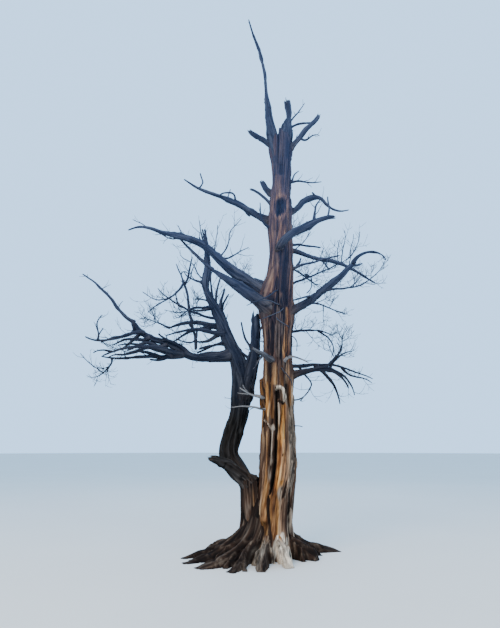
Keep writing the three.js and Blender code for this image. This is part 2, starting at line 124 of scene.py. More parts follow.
BOUGHS = [
    ("elbow_stub", "flank", 0.856, 810, [44, 39, 11], [193, 201, 215], [156, 112, 50]),
    ("top_left_stub", "trunk", 0.957, 740, [53, 28, 23], [169, 201, 213], [54, 44, 54, 36]),
    ("top_right_bough", "trunk", 0.955, 1120, [40, 33, 53, 49, 62], [9, -47, 7, 11, 2], [54, 44, 46, 34]),
    ("top_right_arm", "crown_prong", 0.499, 680, [58, 7], [28, 8], [28, 23, 16]),
    ("broad_stub", "trunk", 0.827, 610, [41, 62], [146, 152], [62, 56, 44]),
    ("thin_stub", "trunk", 0.786, 720, [51, 41, 5], [193, 195, 212], [31, 27, 22]),
    ("upper_left_bough", "trunk", 0.754, 1950, [42, 19, 26, 26, 8, 23, 29],
     [178, 180, 193, 194, 184, 194, 206], [80, 68, 52, 36, 27, 11]),
    ("upper_right_bough", "trunk", 0.78, 1680, [49, 23, 52, 26, -42, -9, 25], [38, 14, 25, 16, 14, 24, 0],
     [62, 56, 46, 26, 10]),
    ("crossing_bough", "trunk", 0.681, 1340, [-18, 30, 28, 23, 2], [239, 305, 350, 342, 353],
     [84, 66, 54, 32]),
    ("straight_right_bough", "trunk", 0.707, 1020, [18, 10, 5], [47, 37, 26], [28, 22, 15]),
    ("long_right_bough", "trunk", 0.685, 1870, [40, -30, -10, -16, -38, -32], [46, -8, 3, -1, 0, 1],
     [48, 40, 33, 26, 13]),
    ("mid_right_bough", "trunk", 0.629, 1100, [24, 0, 15, 5], [-11, -42, -4, -26], [30, 22, 18, 10]),
    ("hook_bough", "trunk", 0.516, 1600, [25, 21, 36, 43, 43], [-14, -11, -11, -13, 7],
     [84, 62, 58, 48, 38]),
    ("hook_tip", "hook_bough", 1, 730, [76, 33, 9, -18, -72], [0, -2, -1, 3, -3], [36, 28, 20, 8]),
    ("low_right_bough", "trunk", 0.369, 1300, [25, 10, 9, -31, -71], [-9, -12, -7, 7, -4],
     [62, 46, 34, 11]),
    ("low_right_arc", "trunk", 0.402, 1990, [5, 7, 1, -14, -20], [42, 30, 19, 18, 15], [38, 31, 24, 16, 8]),
    ("thick_left_bough", "trunk", 0.514, 1430, [36, 30, 33, 26], [225, 205, 191, 192], [118, 100, 76, 24]),
    ("long_left_bough", "trunk", 0.544, 3090, [48, 38, 34, 44, 40, 13, 14, 15, -29],
     [179, 179, 180, 190, 187, 189, 179, 211, 156], [124, 104, 90, 72, 56, 48, 26, 12]),
    ("low_left_bough", "second_stem", 0.485, 1900, [-28, -2, -5, 40, 15, 22, 65],
     [194, 188, 193, 186, 213, 166, 197], [98, 74, 62, 48, 33]),
    ("low_left_sweep", "low_left_bough", 1, 1310, [34, 37, 58, 46, 40, 28],
     [178, 182, 180, 179, 180, 183], [30, 25, 21, 10]),
    ("low_left_fork", "low_left_bough", 0.869, 1010, [17, -31, -14, -7, 30], [259, 192, 197, 191, 209],
     [32, 27, 20, 10]),
    ("low_left_under", "low_left_bough", 0.46, 1600, [-16, 8, -5, 14], [156, 165, 167, 169],
     [46, 38, 29, 21, 12]),
    ("low_left_front", "low_left_bough", 0.459, 1410, [-6, 11, -14, -32], [223, 207, 201, 224],
     [38, 31, 22, 11]),
    ("mid_left_bough", "second_stem", 0.578, 1100, [9, 20, 0, -15], [163, 153, 169, 161], [50, 40, 33, 20]),
    ("mid_left_low", "second_stem", 0.56, 1170, [-22, 13, -15, -26], [230, 210, 209, 211], [44, 34, 23, 8]),
    ("upright_left", "mid_left_bough", 0.587, 1200, [69, 84, 67, 68], [161, 181, 179, 180],
     [28, 24, 19, 8]),
    ("cross_left", "upright_left", 0.703, 1220, [-33, -48, -34, -46], [299, 240, 216, 220],
     [23, 19, 14, 7]),
    ("front_stub", "trunk", 0.405, 800, [4, 10, 22], [248, 236, 222], [56, 42, 36, 16]),
    ("back_low_bough", "trunk", 0.44, 1700, [30, 8, 2, 24], [62, 74, 88, 80], [72, 50, 34, 12]),
    ("back_left_bough", "trunk", 0.58, 1950, [34, 26, 8, 30], [128, 122, 134, 126], [84, 60, 40, 13]),
]
PALE_BOUGHS = [
    ("pale_left_spike", "trunk", 0.293, 870, [16, 4, -7], [218, 209, 197], [20, 17, 7]),
    ("pale_left_snag", "trunk", 0.324, 740, [-1, 14, 24], [182, 212, 217], [30, 24, 8]),
    ("pale_right_snag", "trunk", 0.403, 770, [0, 24, -21, -28], [-64, -68, -40, -22], [30, 21, 8]),
]
# Each mass of twigs, as a limb, then the number of its twigs and their reach.
TWIG_MASSES = [
    ("twigs_top", "crown_prong", 0.631, 850, [51, 57, 61], [32, 38, 23], [19, 14, 5], 4, 260),
    ("twigs_top_right", "top_right_bough", 0.445, 460, [-68, 28, -53], [-5, -38, -39], [21, 15, 5], 4, 220),
    ("twigs_upper_right", "trunk", 0.859, 820, [51, -27, 5], [-8, -30, -9], [29, 17, 6], 4, 300),
    ("twigs_upper_left", "trunk", 0.749, 770, [-29, 35, 104], [197, 224, 297], [34, 22, 7], 3, 260),
    ("twigs_crossing", "crossing_bough", 0.748, 540, [74, 83, 27], [68, 10, -4], [26, 18, 7], 4, 360),
    ("twigs_mid_right", "trunk", 0.644, 1340, [27, 5, -25, -4], [84, 40, 42, 46], [26, 19, 13, 6], 5, 420),
    ("twigs_rising_right", "trunk", 0.587, 1880, [28, 26, 30, 31], [49, 26, 21, 22], [28, 20, 16, 11, 6],
     9, 640),
    ("twigs_hook", "hook_bough", 0.581, 1190, [-1, 0, 36, 61], [-29, -15, -11, -30], [21, 15, 10, 5],
     6, 400),
    ("twigs_droop_right", "hook_bough", 0.253, 940, [24, -31, -22], [-34, -47, -19], [21, 13, 6], 6, 420),
    ("twigs_low_right", "low_right_bough", 0.592, 770, [44, 48, 89], [0, 32, 67], [24, 17, 7], 7, 460),
    ("twigs_right_behind", "trunk", 0.469, 1270, [30, 14, 5, -24], [38, 35, 21, 30], [32, 24, 16, 7],
     7, 460),
    ("twigs_long_left", "long_left_bough", 0.429, 700, [18, 38, 32], [42, 29, 21], [20, 13, 6], 5, 440),
    ("twigs_stem_top", "second_stem", 0.9, 620, [62, 76, 84], [196, 200, 180], [20, 14, 5], 5, 400),
    ("twigs_high_left", "second_stem", 0.762, 720, [30, 23, 52], [130, 136, 131], [28, 18, 7], 6, 460),
    ("twigs_link_left", "second_stem", 0.661, 920, [-12, -11, -29, -47], [224, 230, 244, 198],
     [26, 18, 7], 5, 380),
    ("twigs_reach_left", "second_stem", 0.622, 1240, [-20, 17, 21, 39], [202, 208, 208, 221],
     [30, 21, 14, 6], 7, 440),
    ("twigs_mid_left", "mid_left_bough", 1, 560, [26, 24, 22], [167, 169, 170], [18, 12, 6], 7, 440),
    ("twigs_low_left_sprig", "low_left_fork", 0.793, 460, [83, 67, 51], [43, 256, 411], [17, 12, 6],
     3, 260),
    ("twigs_low_left_hang", "low_left_under", 0.864, 440, [-95, -47, -27], [212, 181, 180], [18, 13, 6],
     6, 400),
    ("twigs_back_left", "back_left_bough", 0.62, 900, [40, 30, 50], [96, 88, 90], [30, 19, 7], 6, 460),
    ("twigs_back_low", "back_low_bough", 0.6, 860, [20, 10, 34], [120, 128, 124], [28, 18, 7], 6, 460),
    ("twigs_back_high", "trunk", 0.73, 1300, [42, 14, 30], [88, 70, 78], [54, 34, 10], 7, 480),
]
MASS_SEED = len(TWIG_MASSES)  # added to a mass's seed for its twigs, as in the source
# Limbs that end in a break rather than a taper.
BROKEN = {"inner_stem", "crown_prong", "elbow_stub", "top_left_stub", "top_right_bough", "top_right_arm",
          "broad_stub", "thin_stub", "straight_right_bough", "crossing_bough", "front_stub"}
# Limbs that carry hardly any fine twigs.
BARE = {"leader", "crown_prong", "top_left_stub", "top_right_bough", "top_right_arm", "broad_stub",
        "thin_stub", "upper_left_bough", "upper_right_bough", "crossing_bough", "straight_right_bough",
        "elbow_stub", "thick_left_bough", "inner_stem", "twigs_top", "twigs_top_right", "twigs_upper_right",
        "twigs_upper_left", "twigs_crossing", "twigs_stem_top", "twigs_long_left", "twigs_high_left"}
# How much a limb swells where it leaves its parent, as a share of its radius.
USUAL_FLARE = 0.35
FLARES = {"second_stem": -0.25, "elbow_stub": -0.25, "leader": -0.3, "crown_prong": -0.3,
          "crossing_bough": -0.1}
# How brown the torn wood at a limb's foot is, by the limb's parent.
USUAL_BROWN = 0.05
FOOT_BROWN = {"flank": 0.12, "trunk": 0.35}
# Limbs that carry the trunk on above its fork, so that their collar starts at their very foot.
ON_THE_FORK = {"leader", "crown_prong"}
# How much of a limb's wood is bleached, from none to all of it.
HARDLY_BLEACHED = 0.02
BLEACHED = {"thick_left_bough": 0.3, "long_left_bough": 0.35, "front_stub": 0.45, "elbow_stub": 0.1,
            "pale_left_spike": 1.0, "pale_left_snag": 0.9, "pale_right_snag": 1.0}
# Smaller limbs that the solids leave out: parent, share of it, length, climbs, bearings, radii.
SIDE_LIMBS = [
    ("twigs_upper_right", 0.3, 350, [75, 70, 45, 40], [65, 40, 25, 30], [20, 8]),
    ("crossing_bough", 0.93, 430, [80, 75, 80, 95], [-10, 50, 115, 155], [18, 12]),
    ("upper_right_bough", 0.55, 140, [35, 30, 25], [-100, -130, -145], [20, 15]),
    ("crossing_bough", 0.68, 80, [35, 35], [-135, -135], [21, 14]),
    ("long_right_bough", 0.15, 470, [35, 35, 45, 35], [-20, -25, -40, -60], [10, 6]),
    ("mid_right_bough", 0.3, 250, [55, 60, 55], [45, 50, 50], [25, 10]),
    ("long_right_bough", 0.43, 290, [-50, -60, -60], [-35, -40, -45], [18, 13]),
    ("hook_bough", 0.98, 340, [10, 20, 30], [35, 40, 45], [22, 13]),
    ("twigs_rising_right", 0.81, 570, [75, 80, 70, 70], [75, 70, 50, 20], [11, 6]),
    ("twigs_rising_right", 0.86, 650, [75, 80, 70, 80], [-55, -20, -35, -165], [11, 6]),
    ("twigs_rising_right", 0.99, 570, [80, 75, 65, 85], [60, 30, 30, 80], [10, 6]),
    ("twigs_rising_right", 0.93, 820, [30, 55, 60, 70, 75], [20, 25, 25, 40, 55], [11, 6]),
    ("mid_right_bough", 0.69, 320, [70, 65, 55], [50, 45, 45], [8, 5]),
    ("twigs_mid_right", 0.65, 530, [35, -55, -90, -60, -40], [25, -55, -125, -155, -170], [14, 8]),
    ("mid_right_bough", 0.81, 370, [-65, -60, -35], [-130, -135, -140], [11, 7]),
    ("twigs_rising_right", 0.45, 280, [30, -15, -30], [-155, -160, -165], [10, 7]),
    ("twigs_hook", 0.41, 300, [70, 65, 65], [55, 55, 55], [8, 5]),
    ("hook_bough", 0.85, 320, [-60, -60, -75], [-160, -120, -65], [7, 5]),
    ("hook_bough", 0.47, 490, [5, -15, -25, -10], [-155, -155, -155, -150], [19, 12]),
    ("upper_left_bough", 0.48, 460, [80, 60, 5, -30, -70], [-75, -145, -175, -165, -140], [19, 13]),
    ("upper_left_bough", 0.84, 390, [45, 65, 75, 75], [-40, 65, 170, 190], [16, 10]),
    ("upper_left_bough", 0.56, 210, [75, 75], [20, 20], [10, 8]),
    ("upper_left_bough", 0.38, 200, [-65, -40, -10], [75, 50, 25], [24, 16]),
    ("long_left_bough", 0.67, 260, [60, 60, 65], [-165, -155, -150], [13, 8]),
    ("second_stem", 0.84, 690, [40, 40, 40, 40, 45], [-165, -165, -165, -165, -145], [30, 16]),
    ("second_stem", 0.92, 340, [70, 70, 70], [-140, -135, -130], [21, 13]),
    ("long_left_bough", 0.48, 530, [75, 80, 85], [-30, -40, -50], [10, 6]),
    ("long_left_bough", 0.44, 840, [45, 55, 90, 20, 45], [-10, -25, -65, -35, -40], [15, 6]),
    ("long_left_bough", 0.82, 400, [-30, -30, -5, 65], [20, 10, 20, 20], [15, 10]),
    ("twigs_reach_left", 0.56, 260, [0, 40, 80, 60], [180, 160, 150, 150], [16, 11]),
    ("cross_left", 0.6, 600, [-15, 10, 35, 35], [170, 155, 160, 155], [12, 6]),
    ("upright_left", 0.21, 480, [-20, -15, 10, -5], [-165, -160, -150, -140], [9, 6]),
    ("upright_left", 0.63, 610, [65, 75, 80, 75, 75], [20, 45, 50, 50, 60], [25, 10]),
    ("upright_left", 0.79, 260, [95, 5, -35, -65], [-75, -30, -20, -45], [12, 8]),
    ("twigs_high_left", 0.61, 380, [75, 70, 65], [80, 55, 25], [12, 8]),
    ("second_stem", 0.78, 640, [0, 60, 50, 0, 50], [-155, -145, -135, -145, -140], [13, 6]),
    ("twigs_low_left_sprig", 0.2, 150, [65, 65, 55], [40, 45, 55], [12, 7]),
    ("cross_left", 0.89, 210, [-75, -70, -75], [15, 80, 155], [7, 4]),
    ("low_left_front", 0.88, 300, [5, 10, -15, -40], [-170, -165, -150, -150], [17, 8]),
    ("low_left_fork", 0.76, 170, [-15, -30, -40], [40, 45, 40], [9, 7]),
    ("twigs_low_left_hang", 0.71, 520, [45, 30, 30, 45, 45], [-150, -155, -155, -150, -135], [10, 5]),
    ("mid_left_bough", 0.64, 540, [-60, -65, -75, -80], [-25, -30, -60, -90], [33, 23]),
    ("mid_left_low", 0.52, 530, [-85, -85, -10, 15, 25], [-70, -150, -160, -170, -165], [17, 10]),
    ("low_left_bough", 0.64, 730, [-65, 30, -5, -35, -20], [-135, -170, -175, -165, -170], [42, 13]),
    ("low_left_bough", 0.91, 540, [-65, -25, -35, -30, -15], [135, 155, 150, 155, 165], [36, 11]),
    ("low_left_bough", 0.8, 770, [-35, 5, 10, -20, -15], [165, 160, 160, 160, 160], [38, 10]),
    ("low_left_under", 0.3, 690, [25, 15, 0, -20], [165, 170, 165, 165], [36, 12]),
    ("second_stem", 0.68, 410, [70, 70, 70], [140, 135, 130], [26, 12]),
    ("second_stem", 0.67, 650, [75, 80, 75, 70, 55], [-110, -125, -130, -80, -10], [25, 10]),
    ("second_stem", 0.66, 600, [85, 80, 75, 70], [70, 60, 50, 45], [27, 12]),
    ("second_stem", 0.64, 430, [75, 70, 70, 70], [-30, -40, -50, -50], [34, 16]),
    ("second_stem", 0.62, 490, [75, 85, 60, 55], [50, 50, 40, 45], [26, 12]),
    ("second_stem", 0.68, 350, [35, 20, 0], [165, 160, 165], [18, 11]),
    ("second_stem", 0.54, 580, [-40, -25, -15, -25], [-155, -160, -160, -155], [29, 18]),
    ("second_stem", 0.49, 750, [35, 25, -5, -30, -10], [155, 165, 165, 165, 160], [27, 16]),
    ("inner_stem", 0.67, 510, [85, 60, 55, 60], [-80, -30, -15, -30], [26, 12]),
    ("inner_stem", 0.59, 620, [50, 60, 75, 75], [165, 160, 145, 135], [25, 13]),
    ("inner_stem", 0.48, 270, [45, 35, 30], [-155, -155, -145], [29, 18]),
    ("second_stem", 0.41, 410, [45, 60, 75], [-25, -40, -55], [39, 21]),
    ("trunk", 0.58, 940, [-5, -15, -35, -30, -5], [-95, -105, -120, -175, -185], [14, 7]),
    ("trunk", 0.56, 940, [-40, -20, 10, -10, -30], [-80, -100, -140, -185, -180], [12, 7]),
    ("trunk", 0.55, 800, [-30, -25, -35, -25, -15], [-60, -75, -125, -165, -195], [12, 7]),
    ("trunk", 0.53, 650, [-30, -35, -35, -35], [-95, -105, -55, 15], [14, 9]),
    ("trunk", 0.41, 710, [-25, -35, -30, -45, -85], [-85, -80, -80, -35, 65], [12, 7]),
    ("trunk", 0.48, 560, [-20, -10, -65, -90], [-25, -5, -30, -245], [9, 6]),
    ("trunk", 0.45, 530, [5, 5, 10, 65], [-155, -155, -150, -170], [9, 6]),
    ("trunk", 0.38, 470, [0, 5, -5], [-15, -15, 0], [11, 7]),
    ("trunk", 0.26, 400, [5, 15, -20], [-20, -25, 5], [11, 6]),
    ("trunk", 0.32, 640, [20, -5, 35, 60], [10, 5, 25, -10], [13, 8]),
    ("pale_left_snag", 0.77, 150, [45, 45, 65], [-165, -150, -115], [12, 6]),
    ("pale_left_snag", 0.68, 230, [0, 5, 15], [170, 165, 170], [11, 6]),
    ("front_stub", 0.67, 310, [-50, -50, -60, -35], [-165, -150, -135, -145], [18, 8]),
    ("thick_left_bough", 0.98, 210, [38, 38], [180, 176], [27, 24]),
    ("front_stub", 0.76, 140, [0, 30, 90], [-175, -145, -110], [13, 8]),
    ("low_right_arc", 0.4, 840, [-50, -45, -65, -80], [-15, -15, -50, -65], [38, 9]),
    ("low_right_bough", 0.62, 730, [-5, -20, -50, -65], [15, 20, 35, 60], [32, 8]),
    ("low_right_arc", 0.22, 780, [-55, -50, -55, -50], [-10, 20, -180, -170], [17, 7]),
    ("low_right_bough", 0.66, 610, [65, 35, 15], [35, 25, 15], [24, 7]),
    ("low_right_arc", 0.67, 690, [-60, -15, -5, -40], [20, 25, 15, 20], [24, 7]),
    ("twigs_right_behind", 0.73, 620, [-25, -40, -65, -70], [20, 5, 55, 205], [17, 7]),
    ("low_left_bough", 0.42, 640, [50, 25, 20, 40], [-150, -155, -155, -145], [41, 14]),
    ("low_left_sweep", 0.02, 800, [-90, -25, -5, -10, -25], [0, 165, 170, 165, 165], [36, 11]),
    ("low_left_under", 0.13, 970, [20, 20, 15, 0, -20], [-170, -170, -170, -170, -165], [38, 11]),
    ("low_left_front", 0.45, 720, [-5, -25, -10, 5, -35], [170, 175, 170, 175, 175], [31, 9]),
    ("low_left_bough", 0.53, 590, [-30, -30, -5, 15], [150, 160, 155, 165], [39, 13]),
    ("mid_left_bough", 0.25, 780, [-30, 0, -20, -35, -25], [165, 170, 165, 170, 170], [40, 11]),
    ("second_stem", 0.57, 620, [-25, -35, -5, 20], [170, 160, 150, 165], [43, 15]),
    ("second_stem", 0.67, 480, [-60, -15, 5, 25], [-165, -165, -170, -165], [31, 9]),
]

# The kinds of wood on the trunk: how dark, silver, honey coloured and rough with bark each is.
KINDS = {
    "honey": (0, 0, 1, 0), "bright": (0, 0.15, 1, 0), "amber": (0.1, 0.05, 0.65, 0),
    "tan": (0, 0.15, 0.36, 0), "red": (0.25, 0, 0.45, 0), "russet": (0.22, 0, 0.62, 0),
    "silver": (0, 0.5, 0.2, 0), "white": (0, 1, 0, 0), "scaly": (0, 0.15, 0.05, 1),
    "grey": (0.2, 0.25, 0, 0.2), "rib": (0.45, 0.1, 0.1, 0), "split": (0.95, 0, 0, 0),
    "line": (0.8, 0, 0, 0), "hollow": (0.6, 0, 0.6, 0),
}
# Strips, splits and knots on the trunk's front: kind, half width and depth in millimetres, where inwards is
# negative, and the bearings and heights, in metres, that each one follows.
STRANDS = [
    # Strips of wood between the splits, from the ground up.
    ("russet", 62, 0, [(232, 1.2), (231, 0.7), (232, 0.3)]),
    ("honey", 40, 20, [(219, 2.59), (220, 2.39), (222, 2.19), (228, 2.06)]),
    ("red", 36, 10, [(240, 2.66), (241, 2.31), (244, 2.03)]),
    ("silver", 14, 15, [(265, 2.27), (266, 1.89)]),
    ("honey", 57, 22, [(285, 2.27), (279, 1.99), (275, 1.77), (273, 1.32), (271, 1.11), (266, 0.89)]),
    ("russet", 60, 16, [(266, 0.95), (271, 0.68), (271, 0.3)]),
    ("amber", 20, 6, [(262, 0.85), (266, 0.6), (264, 0.35)]),
    ("bright", 31, 5, [(283, 1.69), (279, 1.47), (279, 1.11)]),
    ("tan", 35, 14, [(297, 2.23), (294, 1.69), (296, 1.15), (292, 0.8), (294, 0.26)]),
    ("scaly", 54, 16, [(332, 2.38), (321, 2.0), (317, 1.39), (319, 1.07)]),
    ("scaly", 40, 10, [(316, 2.2), (308, 1.9), (306, 1.5), (308, 1.15)]),
    ("tan", 27, 22, [(200, 1.88), (202, 1.39), (212, 1.1), (215, 0.81), (208, 0.24)]),
    ("amber", 33, 12, [(222, 1.81), (224, 1.39), (233, 0.74)]),
    ("amber", 45, 22, [(228, 0.73), (233, 0.65), (232, 0.55)]),
    ("tan", 39, 12, [(210, 2.94), (211, 2.72), (215, 2.59)]),
    ("amber", 39, 12, [(253, 2.87), (254, 2.58)]),
    ("tan", 28, 10, [(306, 2.92), (302, 2.58)]),
    ("tan", 38, 12, [(215, 3.56), (214, 3.3), (195, 3.12), (190, 2.98)]),
    ("russet", 45, 55, [(184, 2.66), (182, 2.45), (186, 2.2)]),
    ("grey", 37, 12, [(266, 3.59), (265, 3.28), (268, 3.0)]),
    ("honey", 47, 14, [(308, 3.84), (315, 3.67), (306, 3.46), (299, 3.21), (293, 2.99)]),
    ("grey", 41, 10, [(214, 4.0), (215, 3.72)]),
    ("tan", 34, 26, [(260, 4.66), (242, 4.52), (227, 4.39), (221, 4.25), (220, 4.12)]),
    ("tan", 18, 10, [(279, 4.15), (279, 4.0)]),
    ("tan", 20, 10, [(253, 4.11), (252, 4.01)]),
    ("red", 27, 10, [(211, 5.61), (219, 5.2), (213, 4.96)]),
    ("amber", 28, 10, [(289, 5.37), (284, 5.08)]),
    ("bright", 19, 24, [(309, 5.88), (304, 5.74), (290, 5.57), (272, 5.37), (258, 5.15), (245, 4.97)]),
    ("red", 16, 16, [(225, 5.87), (226, 5.69), (238, 5.48), (248, 5.24)]),
    ("red", 82, 8, [(257, 6.32), (259, 6.15), (263, 5.99)]),
    ("rib", 34, 20, [(281, 7.34), (274, 7.09), (267, 6.85), (257, 6.62)]),
    # The splits and furrows.
    ("split", 18, -60, [(258, 2.5), (256, 2.07), (253, 1.4), (252, 1.05), (246, 0.9)]),
    ("split", 27, -50, [(254, 1.75), (254, 1.51), (252, 1.32), (252, 1.13), (248, 0.98)]),
    ("line", 18, -30, [(244, 0.87), (245, 0.71), (252, 0.54), (256, 0.33), (255, 0.2)]),
    ("split", 20, -45, [(213, 2.0), (229, 1.89), (238, 1.78), (239, 1.6), (238, 1.45)]),
    ("line", 15, -25, [(190, 2.65), (198, 2.4), (207, 2.14)]),
    ("line", 9, -10, [(233, 2.58), (234, 2.28)]),
    ("line", 12, -25, [(308, 0.77), (312, 0.53), (311, 0.28)]),
    ("split", 26, -50, [(313, 0.98), (319, 0.74), (324, 0.53), (324, 0.28)]),
    ("hollow", 60, -60, [(235, 0.45), (237, 0.25)]),
    ("split", 11, -25, [(279, 3.35), (278, 3.12), (275, 2.95)]),
    ("line", 33, -35, [(245, 3.59), (244, 3.29), (241, 3.0)]),
    ("line", 78, -20, [(282, 4.62), (289, 4.39), (292, 4.15)]),
    ("line", 27, -20, [(257, 4.4), (256, 4.15)]),
    ("line", 19, -20, [(266, 4.15), (270, 3.88), (284, 3.74)]),
    ("line", 41, -20, [(303, 4.12), (307, 3.93)]),
    ("line", 24, -25, [(237, 4.1), (240, 3.66)]),
    ("line", 15, -20, [(235, 2.94), (235, 2.6)]),
    ("hollow", 33, -12, [(283, 2.85), (281, 2.53)]),
    ("line", 18, -20, [(340, 3.56), (336, 3.11)]),
    ("line", 78, -10, [(268, 4.88), (294, 4.7)]),
    ("bright", 150, 26, [(267, 5.83), (267, 5.66)]),
    ("line", 106, -14, [(267, 5.80), (267, 5.66)]),
    ("split", 92, -70, [(267, 5.78), (267, 5.67)]),
    ("line", 40, -20, [(272, 6.56), (272, 6.42)]),
    ("line", 33, -15, [(304, 7.11), (303, 6.7)]),
    ("hollow", 45, -15, [(234, 7.22), (231, 6.81)]),
    # The ridge between the two splits, with its knot, the burl and the splinters.
    ("silver", 13, 35, [(202, 2.02), (226, 1.94), (245, 1.87), (246, 1.69), (245, 1.47), (244, 1.31)]),
    ("silver", 27, 40, [(244, 1.9), (248, 1.86)]),
    ("split", 30, -40, [(265, 2.43), (266, 2.35)]),
    ("split", 24, -25, [(269, 2.29), (281, 2.26)]),
    ("white", 28, 55, [(258, 2.47), (264, 2.51), (275, 2.51), (284, 2.47), (288, 2.38), (286, 2.28)]),
    ("split", 10, -30, [(279, 1.48), (279, 1.46)]),
    ("silver", 9, 22, [(299, 1.13), (296, 0.99), (292, 0.83)]),
    ("line", 9, -15, [(293, 1.1), (291, 0.96), (287, 0.83)]),
    ("silver", 11, 30, [(328, 0.69), (330, 0.52), (327, 0.33)]),
    ("scaly", 34, 32, [(327, 1.47), (327, 1.38)]),
    # The silver foot.
    ("tan", 14, 4, [(285, 0.62), (284, 0.3)]),
    ("white", 36, 4, [(290, 0.36), (284, 0.2), (280, 0.0)]),
    ("white", 28, 4, [(275, 0.33), (268, 0.15), (264, 0.0)]),
    ("white", 24, 3, [(304, 0.3), (300, 0.0)]),
]


# Random numbers, paths and noise.
def seeded(seed):
    """The source's random numbers from 0 to 1, so that both scripts grow the same tree."""
    state = (seed * 7919 + 104729) % MODULUS
    while True:
        state = state * 48271 % MODULUS
        yield state / MODULUS


def along(values, t):
    """The value a share t of the way along evenly spaced values."""
    return np.interp(np.clip(t, 0, 1), np.linspace(0, 1, len(values)), values)


def heading(bearing, climb):
    """The direction of a bearing and a climb in degrees."""
    b, c = np.radians(bearing), np.radians(climb)
    return np.array([np.cos(c) * np.cos(b), np.cos(c) * np.sin(b), np.sin(c)])


def walk(start, length, climbs, bearings, random):
    """A limb's path: short strides whose heading changes along the way, each a little crooked."""
    points = [np.array(start, float)]
    for i in range(STRIDES):
        t = (i + 0.5) / STRIDES
        climb = along(climbs, t) + CROOK * (2 * next(random) - 1)
        bearing = along(bearings, t) + CROOK * (2 * next(random) - 1)
        points.append(points[-1] + heading(bearing, climb) * (length / STRIDES))
    return np.array(points)


def point_at(points, t):
    """The place a share t of the way along a path."""
    place = min(max(t, 0), 1) * (len(points) - 1)
    step = min(int(place), len(points) - 2)
    return points[step] + (points[step + 1] - points[step]) * (place - step)


def unit(vector):
    return vector / np.linalg.norm(vector)


def direction_at(points, t):
    """The direction of a path at a share t of the way along it."""
    reach = 0.5 / (len(points) - 1)
    return unit(point_at(points, t + reach) - point_at(points, t - reach))


def lattice(x, y, z, seed):
    """A random number from 0 to 1 at each whole-numbered place, from its bits well mixed."""
    h = (x * 73856093) ^ (y * 19349663) ^ (z * 83492791) ^ (seed * 26544357)
    h = ((h ^ (h >> 15)) * 224682251) & 0xFFFFFFFF
    h = ((h ^ (h >> 13)) * 326648991) & 0xFFFFFFFF
    return ((h ^ (h >> 16)) & 0xFFFFFF) / 0xFFFFFF


def noise(p, seed):
    """Smooth noise from 0 to 1 at points p, whose last axis holds x, y and z."""
    cell = np.floor(p).astype(np.int64)
    f = p - cell
    f = f * f * (3 - 2 * f)
    total = 0
    for dx in (0, 1):
        for dy in (0, 1):
            for dz in (0, 1):
                corner = np.array([dx, dy, dz])
                weight = np.where(corner, f, 1 - f).prod(-1)
                total = total + weight * lattice(*np.moveaxis(cell + corner, -1, 0), seed)
    return total


def grain_noise(q, size, stretch, seed):
    """Noise drawn out along the grain: q holds two places across it and one along it, in metres."""
    return noise(q / np.array([size, size, size * stretch]), seed)


def ridges(q, size, stretch, seed):
    """Rounded ridges along the grain, from 0 in the furrows to 1 on the crests."""
    return 1 - np.abs(2 * grain_noise(q, size, stretch, seed) - 1)


def step_between(low, high, value):
    """0 up to low and 1 from high on, with a smooth step between."""
    t = np.clip((value - low) / (high - low), 0, 1)
    return t * t * (3 - 2 * t)


def bell(*offsets):
    """1 in the middle, falling away smoothly on all sides: the offsets are given in widths."""
    return np.exp(-sum(offset**2 for offset in offsets))


def turned_about(turn, height, radius):
    """Places round an upright axis, the turn in radians."""
    return np.stack([radius * np.cos(turn), radius * np.sin(turn), height + 0 * turn], -1)


def length_of(points):
    return np.linalg.norm(np.diff(points, axis=0), axis=1).sum()


def turn_between(bearing, other):
    """How many degrees a bearing lies from another one, from -180 to 180."""
    return (bearing - other + 540) % 360 - 180


# Meshes.
class Piece:
    """Collects surfaces into one mesh with their grain and tones."""

    def __init__(self, name, material, slot, *replaced):
        self.name, self.material, self.slot, self.replaced = name, material, slot, replaced
        self.verts, self.grain, self.tone, self.quads, self.caps, self.count = [], [], [], [], [], 0

    def grid(self, points, grain, tone, capped=True, keep=None):
        """points is rows by columns by 3, its rows joined round; keep says which of its quads are made."""
        rows, cols = points.shape[:2]
        index = np.arange(rows * cols).reshape(rows, cols)
        a, b = index[:-1], index[1:]
        quads = np.stack([a, np.roll(a, -1, 1), np.roll(b, -1, 1), b], -1).reshape(-1, 4)
        used = slice(None)
        if keep is not None:
            used, places = np.unique(quads[keep.ravel()], return_inverse=True)
            quads = places.reshape(-1, 4)
        self.quads.append(quads + self.count)
        if capped:
            self.caps += [index[0][::-1] + self.count, index[-1] + self.count]
        self.verts.append(points.reshape(-1, 3)[used])
        self.grain.append(np.broadcast_to(grain, points.shape).reshape(-1, 3)[used])
        self.tone.append(np.broadcast_to(tone, (rows, cols, 4)).reshape(-1, 4)[used])
        self.count += len(self.verts[-1])

    def finish(self):
        """Makes the mesh, gives it its material and hands it to the frame."""
        faces = np.concatenate(self.quads).tolist() + [cap.tolist() for cap in self.caps]
        mesh = bpy.data.meshes.new(self.name)
        mesh.from_pydata(np.concatenate(self.verts).tolist(), [], faces)
        mesh.shade_smooth()
        grain = mesh.attributes.new("grain", "FLOAT_VECTOR", "POINT")
        grain.data.foreach_set("vector", np.concatenate(self.grain).astype(np.float32).ravel())
        tone = mesh.attributes.new("tone", "FLOAT_COLOR", "POINT")
        tone.data.foreach_set("color", np.concatenate(self.tone).astype(np.float32).ravel())
        mesh.validate()
        mesh.materials.append(self.material)
        piece = bpy.data.objects.new(self.name, mesh)
        bpy.context.scene.collection.objects.link(piece)
        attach(piece, "root")
        if self.replaced:
            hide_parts(*self.replaced)


